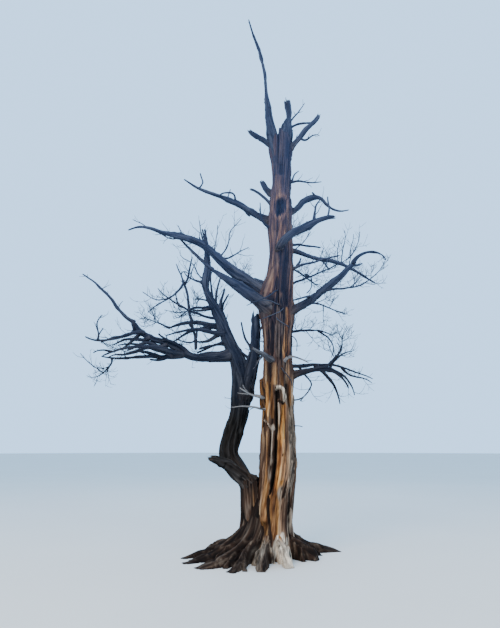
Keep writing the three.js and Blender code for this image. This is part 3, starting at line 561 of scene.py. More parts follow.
def smooth_path(points, count, rounds):
    """The path in metres at evenly spaced places, its corners eased."""
    t = np.linspace(0, len(points) - 1, count)
    path = np.stack([np.interp(t, range(len(points)), points[:, k]) for k in range(3)], 1) / 1000
    width = max(1, int(count / len(points) / 2))
    for _ in range(rounds):
        padded = np.concatenate([np.repeat(path[:1], width, 0), path, np.repeat(path[-1:], width, 0)])
        kernel = np.ones(2 * width + 1) / (2 * width + 1)
        eased = np.stack([np.convolve(padded[:, k], kernel, "valid") for k in range(3)], 1)
        blend = np.minimum(np.arange(count), np.arange(count)[::-1]) / width
        path = path + (eased - path) * np.clip(blend, 0, 1)[:, None]
    return path


def frames(path):
    """A tangent and two directions across it at each place on a path, without twisting."""
    tangents = np.gradient(path, axis=0)
    tangents /= np.linalg.norm(tangents, axis=1)[:, None]
    normals = np.zeros_like(path)
    normal = np.array([0.0, 1.0, 0.0])
    for i, tangent in enumerate(tangents):
        normal = unit(normal - tangent * normal.dot(tangent))
        normals[i] = normal
    return tangents, normals, np.cross(tangents, normals)


def rings(normals, sides, turn):
    """The directions outwards round each place on a path."""
    return np.cos(turn)[None, :, None] * normals[:, None] + np.sin(turn)[None, :, None] * sides[:, None]


def crooked(path, radius, sway, seed):
    """The path with small crooks on the way, the smaller the thinner the limb is."""
    _, normals, sides = frames(path)
    for side, offset in ((normals, 0.5), (sides, 40.5)):
        bend = noise(np.stack([sway, 0 * sway + seed, 0 * sway + offset], -1), 9) - 0.5
        path = path + (1.2 * bend * np.minimum(radius, 0.06) * np.clip(sway, 0, 1))[:, None] * side
    return path


def knots(rng, length, place, turn, radius):
    """The relief of the knots where twigs once grew, on a limb."""
    relief = 0
    for _ in range(int(KNOTS_PER_METRE * length)):
        at, where = rng.uniform(0.08, 0.97), rng.uniform(0, 2 * np.pi)
        here = np.interp(at, place[:, 0] / length, radius)
        wide = min(here, 0.05) * rng.uniform(0.5, 0.9)
        away = np.abs((turn - where + np.pi) % (2 * np.pi) - np.pi)[None, :] * here
        swell = bell((place - at * length) / wide, away / wide)
        relief = relief + wide * rng.uniform(0.15, 0.5) * min(1, here / 0.045) * swell
    return relief


def limb_tube(piece, points, girth, seed, around, buried, pitch=SIDE_PITCH, broken=False, bleached=0.05,
              flare=USUAL_FLARE, brown=USUAL_BROWN):
    """A bare weathered limb: furrowed, knotty and crooked, with a collar where it leaves its parent."""
    length = length_of(points) / 1000
    count = max(8, int(length / pitch))
    path = smooth_path(points, count, 2)
    t = np.linspace(0, 1, count)
    radius = along(girth, t) / 1000
    place = (t * length)[:, None]
    path = crooked(path, radius, place[:, 0] / (8 * max(radius.mean(), 0.012)), seed)
    tangents, normals, sides = frames(path)
    turn = np.arange(around) * 2 * np.pi / around
    twist = turn[None, :] + 1.6 * place * min(1, 0.04 / radius[0])
    q = turned_about(twist, place, np.maximum(radius, 0.02)[:, None]) + seed * 3.7
    size = np.maximum(np.minimum(radius, 0.05 + 0.25 * (radius - 0.05)), 0.012)[:, None]  # of the relief
    run = np.cumsum(length / count / size[:, 0])[:, None]  # the way along, in those sizes
    skin = turned_about(twist, run, radius[:, None] / size)
    lumps = noise(skin / [1.4, 1.4, 4.2] + 50, seed) - 0.5
    ridge = 1 - np.abs(2 * noise(skin / [0.6, 0.6, 9] + 50, seed + 1) - 1)
    cracks = step_between(0.86, 1.0, ridges(q, 0.05, 9, seed + 2))
    rough = 0.55 + 0.45 * step_between(0.015, 0.05, radius)[:, None]
    relief = size * rough * (0.75 * lumps + 0.30 * (ridge - 0.6) - 0.30 * cracks)
    rng = np.random.default_rng(seed)
    relief = relief + knots(rng, length, place, turn, radius)
    free = np.maximum(place - buried, 0)  # how far it has come out of its parent's wood
    collar = np.exp(-free / (1.3 * radius[0])) * step_between(0, buried + 0.001, place)
    relief = relief * np.clip((1 - t) * length / 0.03, 0.3, 1)[:, None] + flare * radius[0] * collar
    grid = path[:, None] + (radius[:, None] + relief)[..., None] * rings(normals, sides, turn)
    pale = bleached * step_between(0.35, 0.75, grain_noise(q, 0.07, 7, seed + 3)) ** (1 - 0.7 * bleached)
    if bleached < 0.4:  # only the wood near the foot is pale
        pale = pale * np.exp(-free / 0.4)
    if bleached > 0.85:
        pale = np.maximum(pale, 0.75)
    # Dark cracks, and painted shade in the furrows between the ridges.
    darkness_and_shade = np.clip(cracks + 0.45 * (0.55 - ridge), 0, 1)
    worn = 0.5 * step_between(0.72, 0.98, ridge) * (1 - bleached)
    torn = brown * np.exp(-free / (1.8 * radius[0])) * (1 - pale)
    tone = np.stack([darkness_and_shade, np.maximum(pale, 0.05 * worn), torn, worn], -1)
    if broken:
        jag = 0.9 * radius[-1] * (2 * noise(turned_about(turn, 0, 3) + seed, 5) - 0.7)
        grid[-1] += jag[:, None] * tangents[-1]
        grid[-2] += 0.5 * jag[:, None] * tangents[-1]
        for shrink, depth in ((0.7, 0.35), (0.35, 0.75)):  # the torn end, hollowed between its splinters
            ring = path[-1] + shrink * (grid[-1] - path[-1]) - depth * radius[-1] * tangents[-1]
            grid = np.concatenate([grid, ring[None]])
            q = np.concatenate([q, q[-1:]])
            raw = np.broadcast_to([0.35, 0.15 + 0.5 * bleached, 0.5, 0], (1, around, 4))
            tone = np.concatenate([tone, raw])
        splinters(piece, path[-1], tangents[-1], normals[-1], sides[-1], radius[-1], rng)
    else:
        grid[-1] = path[-1] + 0.45 * (grid[-1] - path[-1])
    piece.grid(grid, q, tone)


def splinters(piece, end, tangent, normal, side, radius, rng):
    """Long torn splinters that stand up round the end of a broken limb."""
    for i in range(7):
        angle = 2 * np.pi * (i + rng.uniform(-0.3, 0.3)) / 7
        out = np.cos(angle) * normal + np.sin(angle) * side
        foot = end + 0.72 * radius * out - 0.6 * radius * tangent
        tip = foot + (rng.uniform(0.9, 2.2) * radius + 0.012) * unit(tangent + rng.uniform(-0.25, 0.1) * out)
        middle = (foot + tip) / 2 + 0.06 * radius * out
        thick = rng.uniform(0.2, 0.34) * radius * 1000
        twig_tube(piece, np.array([foot, middle, tip]) * 1000, thick, 0.12 * thick, i, 6, 2, 0.12)


def twig_tube(piece, points, foot, tip, seed, around, per_stride, pale=0.0):
    """A thin round twig: its points and its radii at foot and tip are in millimetres."""
    count = (len(points) - 1) * per_stride + 1
    path = smooth_path(np.array(points), count, 1) if count > 4 else np.array(points) / 1000
    count = len(path)
    _, normals, sides = frames(path)
    turn = np.arange(around) * 2 * np.pi / around
    radius = np.linspace(foot, tip, count) / 1000
    across = rings(normals, sides, turn)
    grid = path[:, None] + radius[:, None, None] * across
    q = path[:, None] * 0.3 + across * 0.01 + (seed % 97) * 0.31
    piece.grid(grid, q, np.array([0.0, pale, 0.0, 0.0]))


# Materials.
def node(tree, kind, **settings):
    """A shader node: a setting that starts with in_ is a socket's value or what is linked to it."""
    made = tree.nodes.new(kind)
    for key, value in settings.items():
        if key.startswith("in_"):
            name = key[3:].replace("_", " ")
            socket = made.inputs[int(name)] if name.isdigit() else made.inputs[name]
            if isinstance(value, bpy.types.NodeSocket):
                tree.links.new(value, socket)
            else:
                socket.default_value = value
        else:
            setattr(made, key, value)
    return made


def ramp(tree, factor, *stops):
    """Colours blended along a factor: each stop is its place and its colour."""
    made = node(tree, "ShaderNodeValToRGB", in_Fac=factor)
    elements = made.color_ramp.elements
    while len(elements) < len(stops):
        elements.new(0.5)
    for element, (place, colour) in zip(elements, stops):
        element.position = place
        element.color = (*colour, 1)
    return made.outputs["Color"]


def mix(tree, factor, a, b, blend="MIX"):
    """The colour a blended into the colour b by a factor, each a number, a colour or a link."""
    made = node(tree, "ShaderNodeMix", data_type="RGBA", blend_type=blend)
    for socket, value in ((made.inputs[0], factor), (made.inputs[6], a), (made.inputs[7], b)):
        if isinstance(value, bpy.types.NodeSocket):
            tree.links.new(value, socket)
        elif isinstance(value, (int, float)):
            socket.default_value = value
        else:
            socket.default_value = (*value, 1)
    return made.outputs[2]


def maths(tree, operation, a, b=0.0, c=0.0):
    return node(tree, "ShaderNodeMath", operation=operation, in_0=a, in_1=b, in_2=c).outputs[0]


def grained(tree, size, stretch, detail, roughness=0.6):
    """A noise over the grain attribute, drawn out along the grain."""
    grain = node(tree, "ShaderNodeAttribute", attribute_name="grain").outputs["Vector"]
    scaled = node(tree, "ShaderNodeVectorMath", operation="MULTIPLY", in_0=grain,
                  in_1=(1 / size, 1 / size, 1 / (size * stretch))).outputs[0]
    return node(tree, "ShaderNodeTexNoise", in_Vector=scaled, in_Scale=1.0, in_Detail=detail,
                in_Roughness=roughness).outputs["Fac"]


def material(name, build):
    """A wood material: build gives its colour, the height and strength of its bump, and its roughness."""
    made = bpy.data.materials.new(name)
    made.use_nodes = True
    tree = made.node_tree
    shader = tree.nodes["Principled BSDF"]
    colour, height, strength, roughness = build(tree)
    tree.links.new(colour, shader.inputs["Base Color"])
    tree.links.new(roughness, shader.inputs["Roughness"])
    shader.inputs["Specular IOR Level"].default_value = 0.05
    bump = node(tree, "ShaderNodeBump", in_Strength=strength, in_Distance=0.01, in_Height=height)
    tree.links.new(bump.outputs["Normal"], shader.inputs["Normal"])
    return made


def tones(tree):
    """The four tones that each piece keeps at its points."""
    tone = node(tree, "ShaderNodeAttribute", attribute_name="tone")
    parts = node(tree, "ShaderNodeSeparateColor", in_Color=tone.outputs["Color"])
    return parts.outputs[0], parts.outputs[1], parts.outputs[2], tone.outputs["Alpha"]


def height_share(tree, low, high):
    """How far up between two heights, in metres, a point lies."""
    place = node(tree, "ShaderNodeTexCoord").outputs["Object"]
    height = node(tree, "ShaderNodeSeparateXYZ", in_Vector=place).outputs["Z"]
    share = node(tree, "ShaderNodeMapRange", in_Value=height, in_From_Min=low, in_From_Max=high)
    return share.outputs["Result"]


def trunk_look(tree):
    """Brown wood, honey, silver and bark where the tones say so, dark cracks with painted shade in the
    furrows, and painted blue skylight higher up.
    """
    darkness_and_shade, silver, honey, bark = tones(tree)
    broad = grained(tree, 0.05, 12, 3)
    fine = grained(tree, 0.012, 22, 5, 0.7)
    hair = grained(tree, 0.004, 40, 3)
    wood = ramp(tree, broad, (0.32, (0.014, 0.0065, 0.004)), (0.46, (0.044, 0.021, 0.012)),
                 (0.58, (0.098, 0.052, 0.032)), (0.72, (0.18, 0.112, 0.072)))
    amber = ramp(tree, broad, (0.32, (0.058, 0.016, 0.005)), (0.44, (0.19, 0.068, 0.018)),
                 (0.55, (0.40, 0.175, 0.046)), (0.70, (0.72, 0.41, 0.15)))
    ash = ramp(tree, broad, (0.30, (0.13, 0.098, 0.070)), (0.44, (0.38, 0.31, 0.235)),
               (0.62, (0.82, 0.68, 0.51)))
    rind = ramp(tree, grained(tree, 0.03, 2.5, 5, 0.65), (0.35, (0.016, 0.010, 0.007)),
                (0.52, (0.060, 0.038, 0.026)), (0.70, (0.14, 0.094, 0.066)))
    colour = mix(tree, honey, wood, amber)
    colour = mix(tree, bark, colour, rind)
    colour = mix(tree, silver, colour, ash)
    shade = ramp(tree, fine, (0.34, (0.38, 0.35, 0.34)), (0.5, (0.95, 0.95, 0.95)),
                 (0.66, (1.25, 1.2, 1.16)))
    colour = mix(tree, 0.9, colour, shade, "MULTIPLY")
    # Painted blue skylight: higher up, the wood and its dark cracks are turned towards the blue of the sky's
    # light.
    high = height_share(tree, *TRUNK_PAINTED_SKYLIGHT)
    sky = ramp(tree, fine, (0.36, (0.026, 0.040, 0.088)), (0.5, (0.052, 0.070, 0.132)),
               (0.64, (0.098, 0.112, 0.170)))
    colour = mix(tree, maths(tree, "MULTIPLY", high, 0.55), colour, sky)
    dark = mix(tree, high, (0.006, 0.0045, 0.004), (0.012, 0.021, 0.050))
    # The dark tone lays on the dark cracks and seams and the painted shade in the furrows.
    colour = mix(tree, darkness_and_shade, colour, dark)
    height = maths(tree, "ADD", maths(tree, "MULTIPLY", fine, 0.7), maths(tree, "MULTIPLY", hair, 0.3))
    return colour, height, 0.6, maths(tree, "MULTIPLY_ADD", fine, 0.2, 0.68)


def bough_look(tree):
    """Nearly black weathered wood, bleached or torn in places, dark in its cracks with painted shade in its
    furrows, and painted blue skylight higher up.
    """
    darkness_and_shade, pale, torn, worn = tones(tree)
    broad = grained(tree, 0.04, 14, 4)
    fine = grained(tree, 0.010, 20, 4, 0.7)
    wood = ramp(tree, broad, (0.30, (0.0027, 0.0022, 0.0019)), (0.50, (0.0066, 0.0055, 0.0048)),
                (0.66, (0.012, 0.0102, 0.009)), (0.80, (0.024, 0.021, 0.019)))
    ash = ramp(tree, broad, (0.28, (0.10, 0.095, 0.09)), (0.50, (0.27, 0.25, 0.235)),
               (0.72, (0.46, 0.43, 0.40)))
    raw = ramp(tree, broad, (0.3, (0.06, 0.032, 0.02)), (0.7, (0.22, 0.14, 0.09)))
    colour = mix(tree, worn, wood, (0.026, 0.025, 0.025))
    colour = mix(tree, pale, colour, ash)
    colour = mix(tree, torn, colour, raw)
    shade = ramp(tree, fine, (0.30, (0.45, 0.45, 0.45)), (0.5, (0.95, 0.95, 0.95)), (0.7, (1.35, 1.32, 1.3)))
    colour = mix(tree, 0.85, colour, shade, "MULTIPLY")
    # Dark cracks and painted shade in the furrows.
    colour = mix(tree, maths(tree, "MULTIPLY", darkness_and_shade, 0.85), colour, (0.002, 0.002, 0.002))
    # Painted blue skylight higher up, less of it on the torn wood at the foot.
    sky = ramp(tree, broad, (0.34, (0.018, 0.032, 0.072)), (0.5, (0.036, 0.057, 0.116)),
               (0.68, (0.085, 0.105, 0.165)))
    less_torn = maths(tree, "MULTIPLY_ADD", torn, -1.2, 0.56)
    painted_skylight_share = maths(tree, "MULTIPLY", height_share(tree, *LIMB_PAINTED_SKYLIGHT), less_torn)
    colour = mix(tree, painted_skylight_share, colour, sky)
    return colour, fine, 0.5, maths(tree, "MULTIPLY_ADD", fine, 0.2, 0.64)


def twig_look(tree):
    _, pale, _, _ = tones(tree)
    broad = grained(tree, 0.04, 3, 3)
    wood = ramp(tree, broad, (0.3, (0.003, 0.003, 0.003)), (0.55, (0.008, 0.008, 0.0085)),
                (0.75, (0.022, 0.022, 0.023)))
    # Painted blue skylight higher up.
    painted_skylight_share = maths(tree, "MULTIPLY", height_share(tree, *LIMB_PAINTED_SKYLIGHT), 0.5)
    wood = mix(tree, painted_skylight_share, wood, (0.030, 0.050, 0.108))
    colour = mix(tree, pale, wood, (0.24, 0.22, 0.205))
    return colour, broad, 0.3, maths(tree, "MULTIPLY_ADD", broad, 0.2, 0.68)


trunk_wood = material("trunk_wood", trunk_look)
bough_wood = material("bough_wood", bough_look)
twig_wood = material("twig_wood", twig_look)


# The trunk. In these functions b is a bearing in degrees, z a height in metres and q the grain's own places;
# relief is in metres, and tone holds how dark, silver, honey coloured and rough with bark each point is.
def up_trunk(height):
    """The share of the trunk's height at heights in metres."""
    return height * 1000 / FORK_HEIGHT


def trunk_girth(height):
    return along(TRUNK_RADIUS, up_trunk(height)) / 1000


def trunk_radius(height, bearing):
    """The part's own trunk radius, in metres, at heights in metres and bearings in degrees."""
    share = up_trunk(height)
    turned = np.radians(bearing - TRUNK_TWIST * share)
    lobed = 1 + LOBE_DEPTH * np.sin(LOBES * turned) + LOBE_DEPTH / 2 * np.sin(2 * turned)
    span = np.clip((height * 1000 - SPLIT["low"]) / (SPLIT["high"] - SPLIT["low"]), 0, 1)
    off = turn_between(bearing, SPLIT["bearing"]) / SPLIT["width"]
    split = SPLIT["depth"] * np.sin(np.pi * span) * bell(off)
    return (along(TRUNK_RADIUS, share) * lobed - 0.35 * split) / 1000


def hidden_strands():
    """Strips and splits of the same kinds round the back, which the photograph doesn't show."""
    rng = np.random.default_rng(5)
    kinds = ["tan", "red", "silver", "scaly", "amber", "line", "grey", "split", "tan", "line", "honey",
             "line"]
    rows = []
    for i in range(60):
        at = rng.uniform(-8, 188)
        low, tall = rng.uniform(0.1, 6.2), rng.uniform(0.5, 1.5)
        kind = kinds[i % len(kinds)]
        dark = kind in ("line", "split")
        places = [(at + rng.uniform(-9, 9), low + tall * step / 3) for step in range(4)]
        wide = rng.uniform(12, 30) if dark else rng.uniform(26, 60)
        rows.append((kind, wide, -wide if dark else 0.3 * wide, places))
    return rows


def strand_distance(places, b, z, girth, wide):
    """How far points on the trunk are from a strand's line, in half widths, with its ends drawn to points."""
    lengths = [0.0]
    nearest, share = np.full(b.shape, 1e9), np.zeros(b.shape)
    for (b0, z0), (b1, z1) in zip(places, places[1:]):
        across, up = girth * np.radians(turn_between(b, b0)), z - z0
        wide_step, high_step = girth * np.radians(turn_between(b1, b0)), z1 - z0
        span = wide_step**2 + high_step**2
        t = np.clip((across * wide_step + up * high_step) / span, 0, 1)
        away = np.hypot(across - t * wide_step, up - t * high_step)
        closer = away < nearest
        nearest = np.where(closer, away, nearest)
        share = np.where(closer, lengths[-1] + t * np.sqrt(span), share)
        lengths.append(lengths[-1] + float(np.sqrt(span).mean()))
    if lengths[-1] < 8 * wide:  # a knot or a patch keeps its round ends
        return nearest / wide
    ends = np.minimum(share, lengths[-1] - share)
    return nearest / (wide * np.clip(0.45 + ends / (5 * wide), 0, 1))


def paint_strands(b, z, q, relief, tone):
    """Lays each strand's relief and kind of wood on the trunk, in the order of the list."""
    ragged = grain_noise(q, 0.02, 14, 31) - 0.5
    warped = b + 7 * (grain_noise(q, 0.11, 4, 32) - 0.5) + 3 * ragged
    girth = trunk_girth(z)
    for kind, wide, depth, places in hidden_strands() + STRANDS:
        wide, depth = wide / 1000, depth / 1000
        heights = [height for _, height in places]
        rows = (z[:, 0] > min(heights) - 3 * wide) & (z[:, 0] < max(heights) + 3 * wide)
        far = strand_distance(places, warped[rows], z[rows], girth[rows], wide)
        relief[rows] += depth * bell(far)
        core = step_between(1.3, 0.65, far + 0.9 * ragged[rows])[..., None]
        dark = KINDS[kind][0]
        worn = tone[rows] * (1 - core) + np.array(KINDS[kind]) * core
        if dark < 0.3:  # fine furrows go on through a strip of sound wood
            worn[..., 0] = np.maximum(worn[..., 0], 0.6 * tone[rows][..., 0] * core[..., 0])
        tone[rows] = worn


def swell_collars(b, z, relief, tone):
    """The trunk's wood swells round the foot of each bough and runs down from it, darker there, partly as the
    wood's own dark and partly as painted shade under the bough.
    """
    girth = trunk_girth(z)
    for name, parent, *_ in BOUGHS + PALE_BOUGHS + TWIG_MASSES:
        if parent != "trunk":
            continue
        path = paths[name] / 1000
        east = path[:, 0] - along(TRUNK_X, up_trunk(path[:, 2])) / 1000
        out = int(np.argmax(np.hypot(east, path[:, 1]) > trunk_girth(path[:, 2])))
        bearing = np.degrees(np.arctan2(path[out, 1], east[out]))
        thick = along(girths[name], out / STRIDES) / 1000
        across = girth * np.radians(turn_between(b, bearing)) / (1.5 * thick)
        up = z - path[out, 2]
        swell = bell(across, up / np.where(up < 0, 5 * thick, 2.2 * thick))
        relief += 0.8 * thick * swell
        # Darker round and below the bough's foot: dark wood and painted shade, with less honey.
        tone[..., 0] = np.maximum(tone[..., 0], 0.6 * swell)
        tone[..., 2] *= 1 - 0.5 * swell


def root_swell(bearing, z, width, top, share):
    """How far wood swells out towards the roots: a share of each root's radius, less further up."""
    swell = sum(size * bell(turn_between(bearing, at) / width) for at, _, size, _, _ in ROOTS)
    return share / 1000 * swell * np.clip(1 - z / top, 0, 1) ** 2


def plain_trunk(q, z):
    """The trunk's relief and tones before the strands are laid on it."""
    flutes = ridges(q, 0.10, 12, 3)
    strips = ridges(q, 0.036, 20, 4)
    lumps = grain_noise(q, 0.16, 2.4, 5) - 0.5
    cracks = step_between(0.90, 0.995, ridges(q, 0.12, 14, 6))
    cracks *= step_between(0.35, 0.6, grain_noise(q, 0.3, 3, 7))
    seams = step_between(0.86, 1.0, ridges(q, 0.055, 26, 8))
    seams = np.maximum(seams, step_between(0.88, 1.0, ridges(q, 0.03, 24, 9)))
    relief = 0.022 * (flutes - 0.6) + 0.013 * (strips - 0.6) + 0.030 * lumps - 0.028 * cracks - 0.012 * seams
    # Dark cracks and seams, and painted shade in the furrows between the strips.
    darkness_and_shade = np.clip(0.95 * cracks + 0.8 * seams + 0.8 * step_between(0.48, 0.08, strips), 0, 1)
    high = step_between(*STILL_DARKER, z)
    top = step_between(*DARK_TOP, z + 0.5 * (grain_noise(q, 0.06, 9, 14) - 0.5))
    light = step_between(*BELOW_KNOT, z) * step_between(*ABOVE_KNOT, z)  # a paler stretch round the knot
    darkness_and_shade = np.clip(darkness_and_shade + 0.12 * step_between(*DARKER, z) + 0.04 * high + 0.38 * top, 0, 0.93)
    sound = (1 - 0.5 * high) * (1 - top)
    silver = 0.26 * sound * step_between(0.52, 0.75, grain_noise(q, 0.05, 12, 12))
    honey = 0.42 * sound * step_between(0.48, 0.75, grain_noise(q, 0.08, 10, 13)) + 0.22 * light
    return relief, np.stack([darkness_and_shade * (1 - 0.4 * light), silver, honey, 0 * z], -1)


def knot_swirl(b, z):
    """The relief of the wood that has grown round the knot."""
    off, up = turn_between(b, KNOT["bearing"]), z - KNOT["height"]
    return 0.010 * np.sin((up**2 / 0.02 + (off / 26) ** 2) * 6) * bell(up / 0.24, off / 34)


def build_trunk():
    piece = Piece("trunk_wood", trunk_wood, "trunk_wood", "trunk")
    cols, rows = TRUNK_GRID
    share = np.linspace(0, 1, rows)
    fork = FORK_HEIGHT / 1000
    height = fork * (0.75 * share + 0.25 * share**2)  # the rows lie closer near the ground
    z, b = np.meshgrid(height, np.arange(cols) * 360 / cols, indexing="ij")
    turned = np.radians(b - TRUNK_TWIST * up_trunk(z))
    q = turned_about(turned, z, 0.25) + 7.3
    relief, tone = plain_trunk(q, z)
    paint_strands(b, z, q, relief, tone)
    dull = step_between(*DULLER, z)
    tone[..., 0] = np.clip(tone[..., 0] + 0.10 * dull * step_between(*DARK_STRETCH_END, z), 0, 1)
    tone[..., 1] *= 1 - 0.55 * step_between(*LESS_SILVER, z)
    tone[..., 2] *= 1 - 0.3 * dull
    swell_collars(b, z, relief, tone)
    relief = (relief + knot_swirl(b, z)) * (np.clip(z / 0.05, 0, 1) * 0.6 + 0.4)
    scales = grain_noise(q, 0.022, 2.2, 11)
    bark = tone[..., 3]
    relief += bark * 0.012 * (step_between(0.35, 0.6, scales) - 0.5)
    tone[..., 0] = np.maximum(tone[..., 0], bark * 0.6 * step_between(0.42, 0.3, scales))
    radius = trunk_radius(z, b) + root_swell(b, z, 17, 0.85, 0.8) + relief
    splinter = 0.14 * (noise(turned_about(turned, 0 * z, 5) + 3, 2) - 0.4)
    jag = BROKEN_TOP["rise"] / 1000 * np.sin(BROKEN_TOP["teeth"] * np.radians(b)) + splinter
    grid = turned_about(np.radians(b), z + bell((fork - z) / 0.12) * jag, radius)
    x = along(TRUNK_X, up_trunk(z)) / 1000
    grid[..., 0] += x
    low = np.array([x[-1, 0], 0, fork - BROKEN_TOP["hollow"] / 1000])
    for shrink in (0.86, 0.7, 0.5, 0.3, 0.1):  # down into the hollow top
        ring = low + shrink * (grid[rows - 1] - low) * np.array([1, 1, 0.9 * shrink + 0.1])
        grid = np.concatenate([grid, ring[None]])
        q = np.concatenate([q, q[rows - 1:rows] * np.array([shrink, shrink, 1])])
        tone = np.concatenate([tone, np.broadcast_to([0.75, 0.0, 0.2, 0.0], (1, cols, 4))])
    piece.grid(grid, q, tone)
    piece.finish()


def build_flank(piece, points):
    """The foot of the second stem, grown together with the trunk."""
    (cols, rows), top = FLANK_GRID, 1.16
    path = smooth_path(points, rows, 2)
    path[:, 2] = np.linspace(0, top, rows)
    turn = np.arange(cols) * 2 * np.pi / cols
    z, a = np.meshgrid(path[:, 2], turn, indexing="ij")
    q = turned_about(a + 0.5 * z, z, 0.17) + 21.7
    strips = ridges(q, 0.045, 14, 23)
    cracks = step_between(0.86, 1.0, ridges(q, 0.06, 14, 24))
    relief = 0.022 * (strips - 0.6) - 0.025 * cracks + 0.035 * (grain_noise(q, 0.12, 2.4, 25) - 0.5)
    radius = along(FLANK["girth"], z / top) / 1000 + relief + root_swell(np.degrees(a), z, 18, 0.7, 0.7)
    radius *= 1 - 0.5 * step_between(1.02, top, z) ** 2
    grid = path[:, None] * np.array([1, 1, 0]) + turned_about(a, z, radius)
    honey = 0.45 * step_between(0.50, 0.72, grain_noise(q, 0.05, 10, 26)) * step_between(1.1, 0.8, z)
    # Dark wood and cracks, painted shade in the furrows between the strips, less dark where the honey is, and
    # darker towards the top.
    dark = cracks + 0.62 + 0.7 * (0.6 - strips) - 0.35 * honey + 0.3 * step_between(0.8, 1.1, z)
    dark = np.clip(dark, 0, 1)
    silver = 0.1 * step_between(0.85, 0.97, strips)
    piece.grid(grid, q, np.stack([dark, silver, honey, 0 * z], -1))


# The roots.
def root_courses():
    """Each root's places, radii and buttress, in metres, with a smaller root that leaves it on each side."""
    courses = []
    whole = np.linspace(0, 1, STRIDES + 1)
    for bearing, reach, size, x, y in ROOTS:
        points = walk((x, y, ROOT_CROWN), reach, ROOT_FALLS, [bearing, bearing], seeded(bearing))
        buttress = 0.15 if 250 < bearing < 300 else 0.3  # low in front, where the trunk's foot shows
        courses.append((points / 1000, size * along(ROOT_TAPER, whole) / 1000, buttress))
        rng = np.random.default_rng(bearing)
        for side in (-1, 1):
            start = point_at(points, rng.uniform(0.22, 0.5)) - np.array([0, 0, 12])
            lean = bearing + side * rng.uniform(16, 30)
            thin = walk(start, reach * rng.uniform(0.3, 0.5), [-14, -10, -8], [lean, lean], seeded(int(lean)))
            courses.append((thin / 1000, size * along([0.4, 0.28, 0.14], whole) / 1000, 0.0))
    return courses


def beside_root(points, x, y):
    """How far each place lies from a root's path, how far to its side, and at which share of its length."""
    nearest, across, share = np.full(x.shape, 1e9), np.zeros(x.shape), np.zeros(x.shape)
    for k in range(STRIDES):
        start, step = points[k, :2], points[k + 1, :2] - points[k, :2]
        t = np.clip(((x - start[0]) * step[0] + (y - start[1]) * step[1]) / step.dot(step), 0, 1)
        dx, dy = x - start[0] - t * step[0], y - start[1] - t * step[1]
        away = np.hypot(dx, dy)
        closer = away < nearest
        nearest = np.where(closer, away, nearest)
        across = np.where(closer, away * np.sign(dx * step[1] - dy * step[0]), across)
        share = np.where(closer, (k + t) / STRIDES, share)
    return nearest, across, share


def root_crests(x, y):
    """The height of the roots at each place, and the grain of the root that is the highest there."""
    total, best = np.zeros(x.shape), np.full(x.shape, -1.0)
    grain = np.zeros((*x.shape, 3))
    for index, (points, girth, buttress) in enumerate(root_courses()):
        nearest, across, share = beside_root(points, x, y)
        radius = along(girth, share)
        crest = along(points[:, 2], share) + radius + buttress * np.exp(-share / 0.13)
        crest = crest * np.sqrt(np.clip((1 - share) / 0.2, 0, 1))
        wide = (0.80 + 0.5 * np.exp(-share / 0.15)) * radius + buttress * 0.16 * np.exp(-share / 0.12)
        wide = np.maximum(wide, 0.45 * girth[0])
        rise = crest * np.clip(1 - (nearest / wide) ** 2.2, 0, 1) ** 0.6
        total += rise**8
        closer = rise > best
        best = np.where(closer, rise, best)
        place = np.stack([across + index, 0.3 * np.minimum(rise, 0.3), share * 1.1 + index * 1.7], -1)
        grain = np.where(closer[..., None], place, grain)
    return total ** (1 / 8), grain


def build_root_plate(piece):
    """The roots as one flowing skirt round the trunk: at each place the highest of their crests."""
    cols, rows = PLATE_GRID
    out = 0.12 + 1.42 * np.linspace(0, 1, rows) ** 1.15
    r, a = np.meshgrid(out, np.arange(cols) * 2 * np.pi / cols, indexing="ij")
    middle = np.array([-0.02, 0, 0])
    flat = turned_about(a, 0.5, r) + middle
    wander = 0.16 * step_between(0.25, 0.8, r)  # the roots wander on their way
    x = flat[..., 0] + wander * (noise(flat / 0.24, 41) - 0.5)
    y = flat[..., 1] + wander * (noise(flat / 0.24, 42) - 0.5)
    high, grain = root_crests(x, y)
    strips = ridges(grain, 0.030, 10, 43)
    lumps = grain_noise(grain, 0.07, 4.0, 44) - 0.5
    cracks = step_between(0.84, 1.0, ridges(grain, 0.05, 12, 45))
    bearing = np.degrees(np.arctan2(y, x - 0.12)) % 360
    edge = 10 * (strips - 0.5)
    front = step_between(24, 15, np.abs(turn_between(bearing, 285)) + edge)
    bulge = step_between(14, 9, np.abs(turn_between(bearing, 250)) + edge)
    shown = np.maximum(front, bulge)
    rough = np.minimum(high, 0.08) * (1 - 0.55 * shown)
    high = high + rough * (0.45 * (strips - 0.6) + 0.28 * lumps - 0.35 * cracks) - 0.006
    ragged = high + 0.14 * (grain_noise(grain, 0.022, 14, 46) - 0.5)
    silver = np.maximum(0.95 * front, 0.40 * bulge) * step_between(1.2, 0.7, r)
    silver *= step_between(0.36, 0.22, ragged)
    silver = np.maximum(silver, 0.16 * step_between(0.80, 0.96, strips))
    honey = 0.6 * shown * step_between(0.20, 0.32, ragged)
    # Dark wood away from the pale front, and painted shade in the furrows between the strips.
    dark = 0.82 * (1 - front) * (1 - 0.5 * bulge) + 0.55 * (0.6 - strips)
    dark = np.clip(np.maximum(dark, cracks), 0, 1)
    tone = np.stack([dark, silver, honey, 0.55 * bulge], -1)
    above = high[:-1] > 0
    above |= high[1:] > 0
    keep = above | np.roll(above, -1, 1)
    spread = turned_about(a, np.maximum(high, 0), r) + middle
    piece.grid(spread[::-1], grain[::-1], tone[::-1], False, keep[::-1])


def build_base():
    piece = Piece("root_plate_wood", trunk_wood, "trunk_wood", "trunk")
    build_flank(piece, paths["flank"])
    build_root_plate(piece)
    piece.finish()


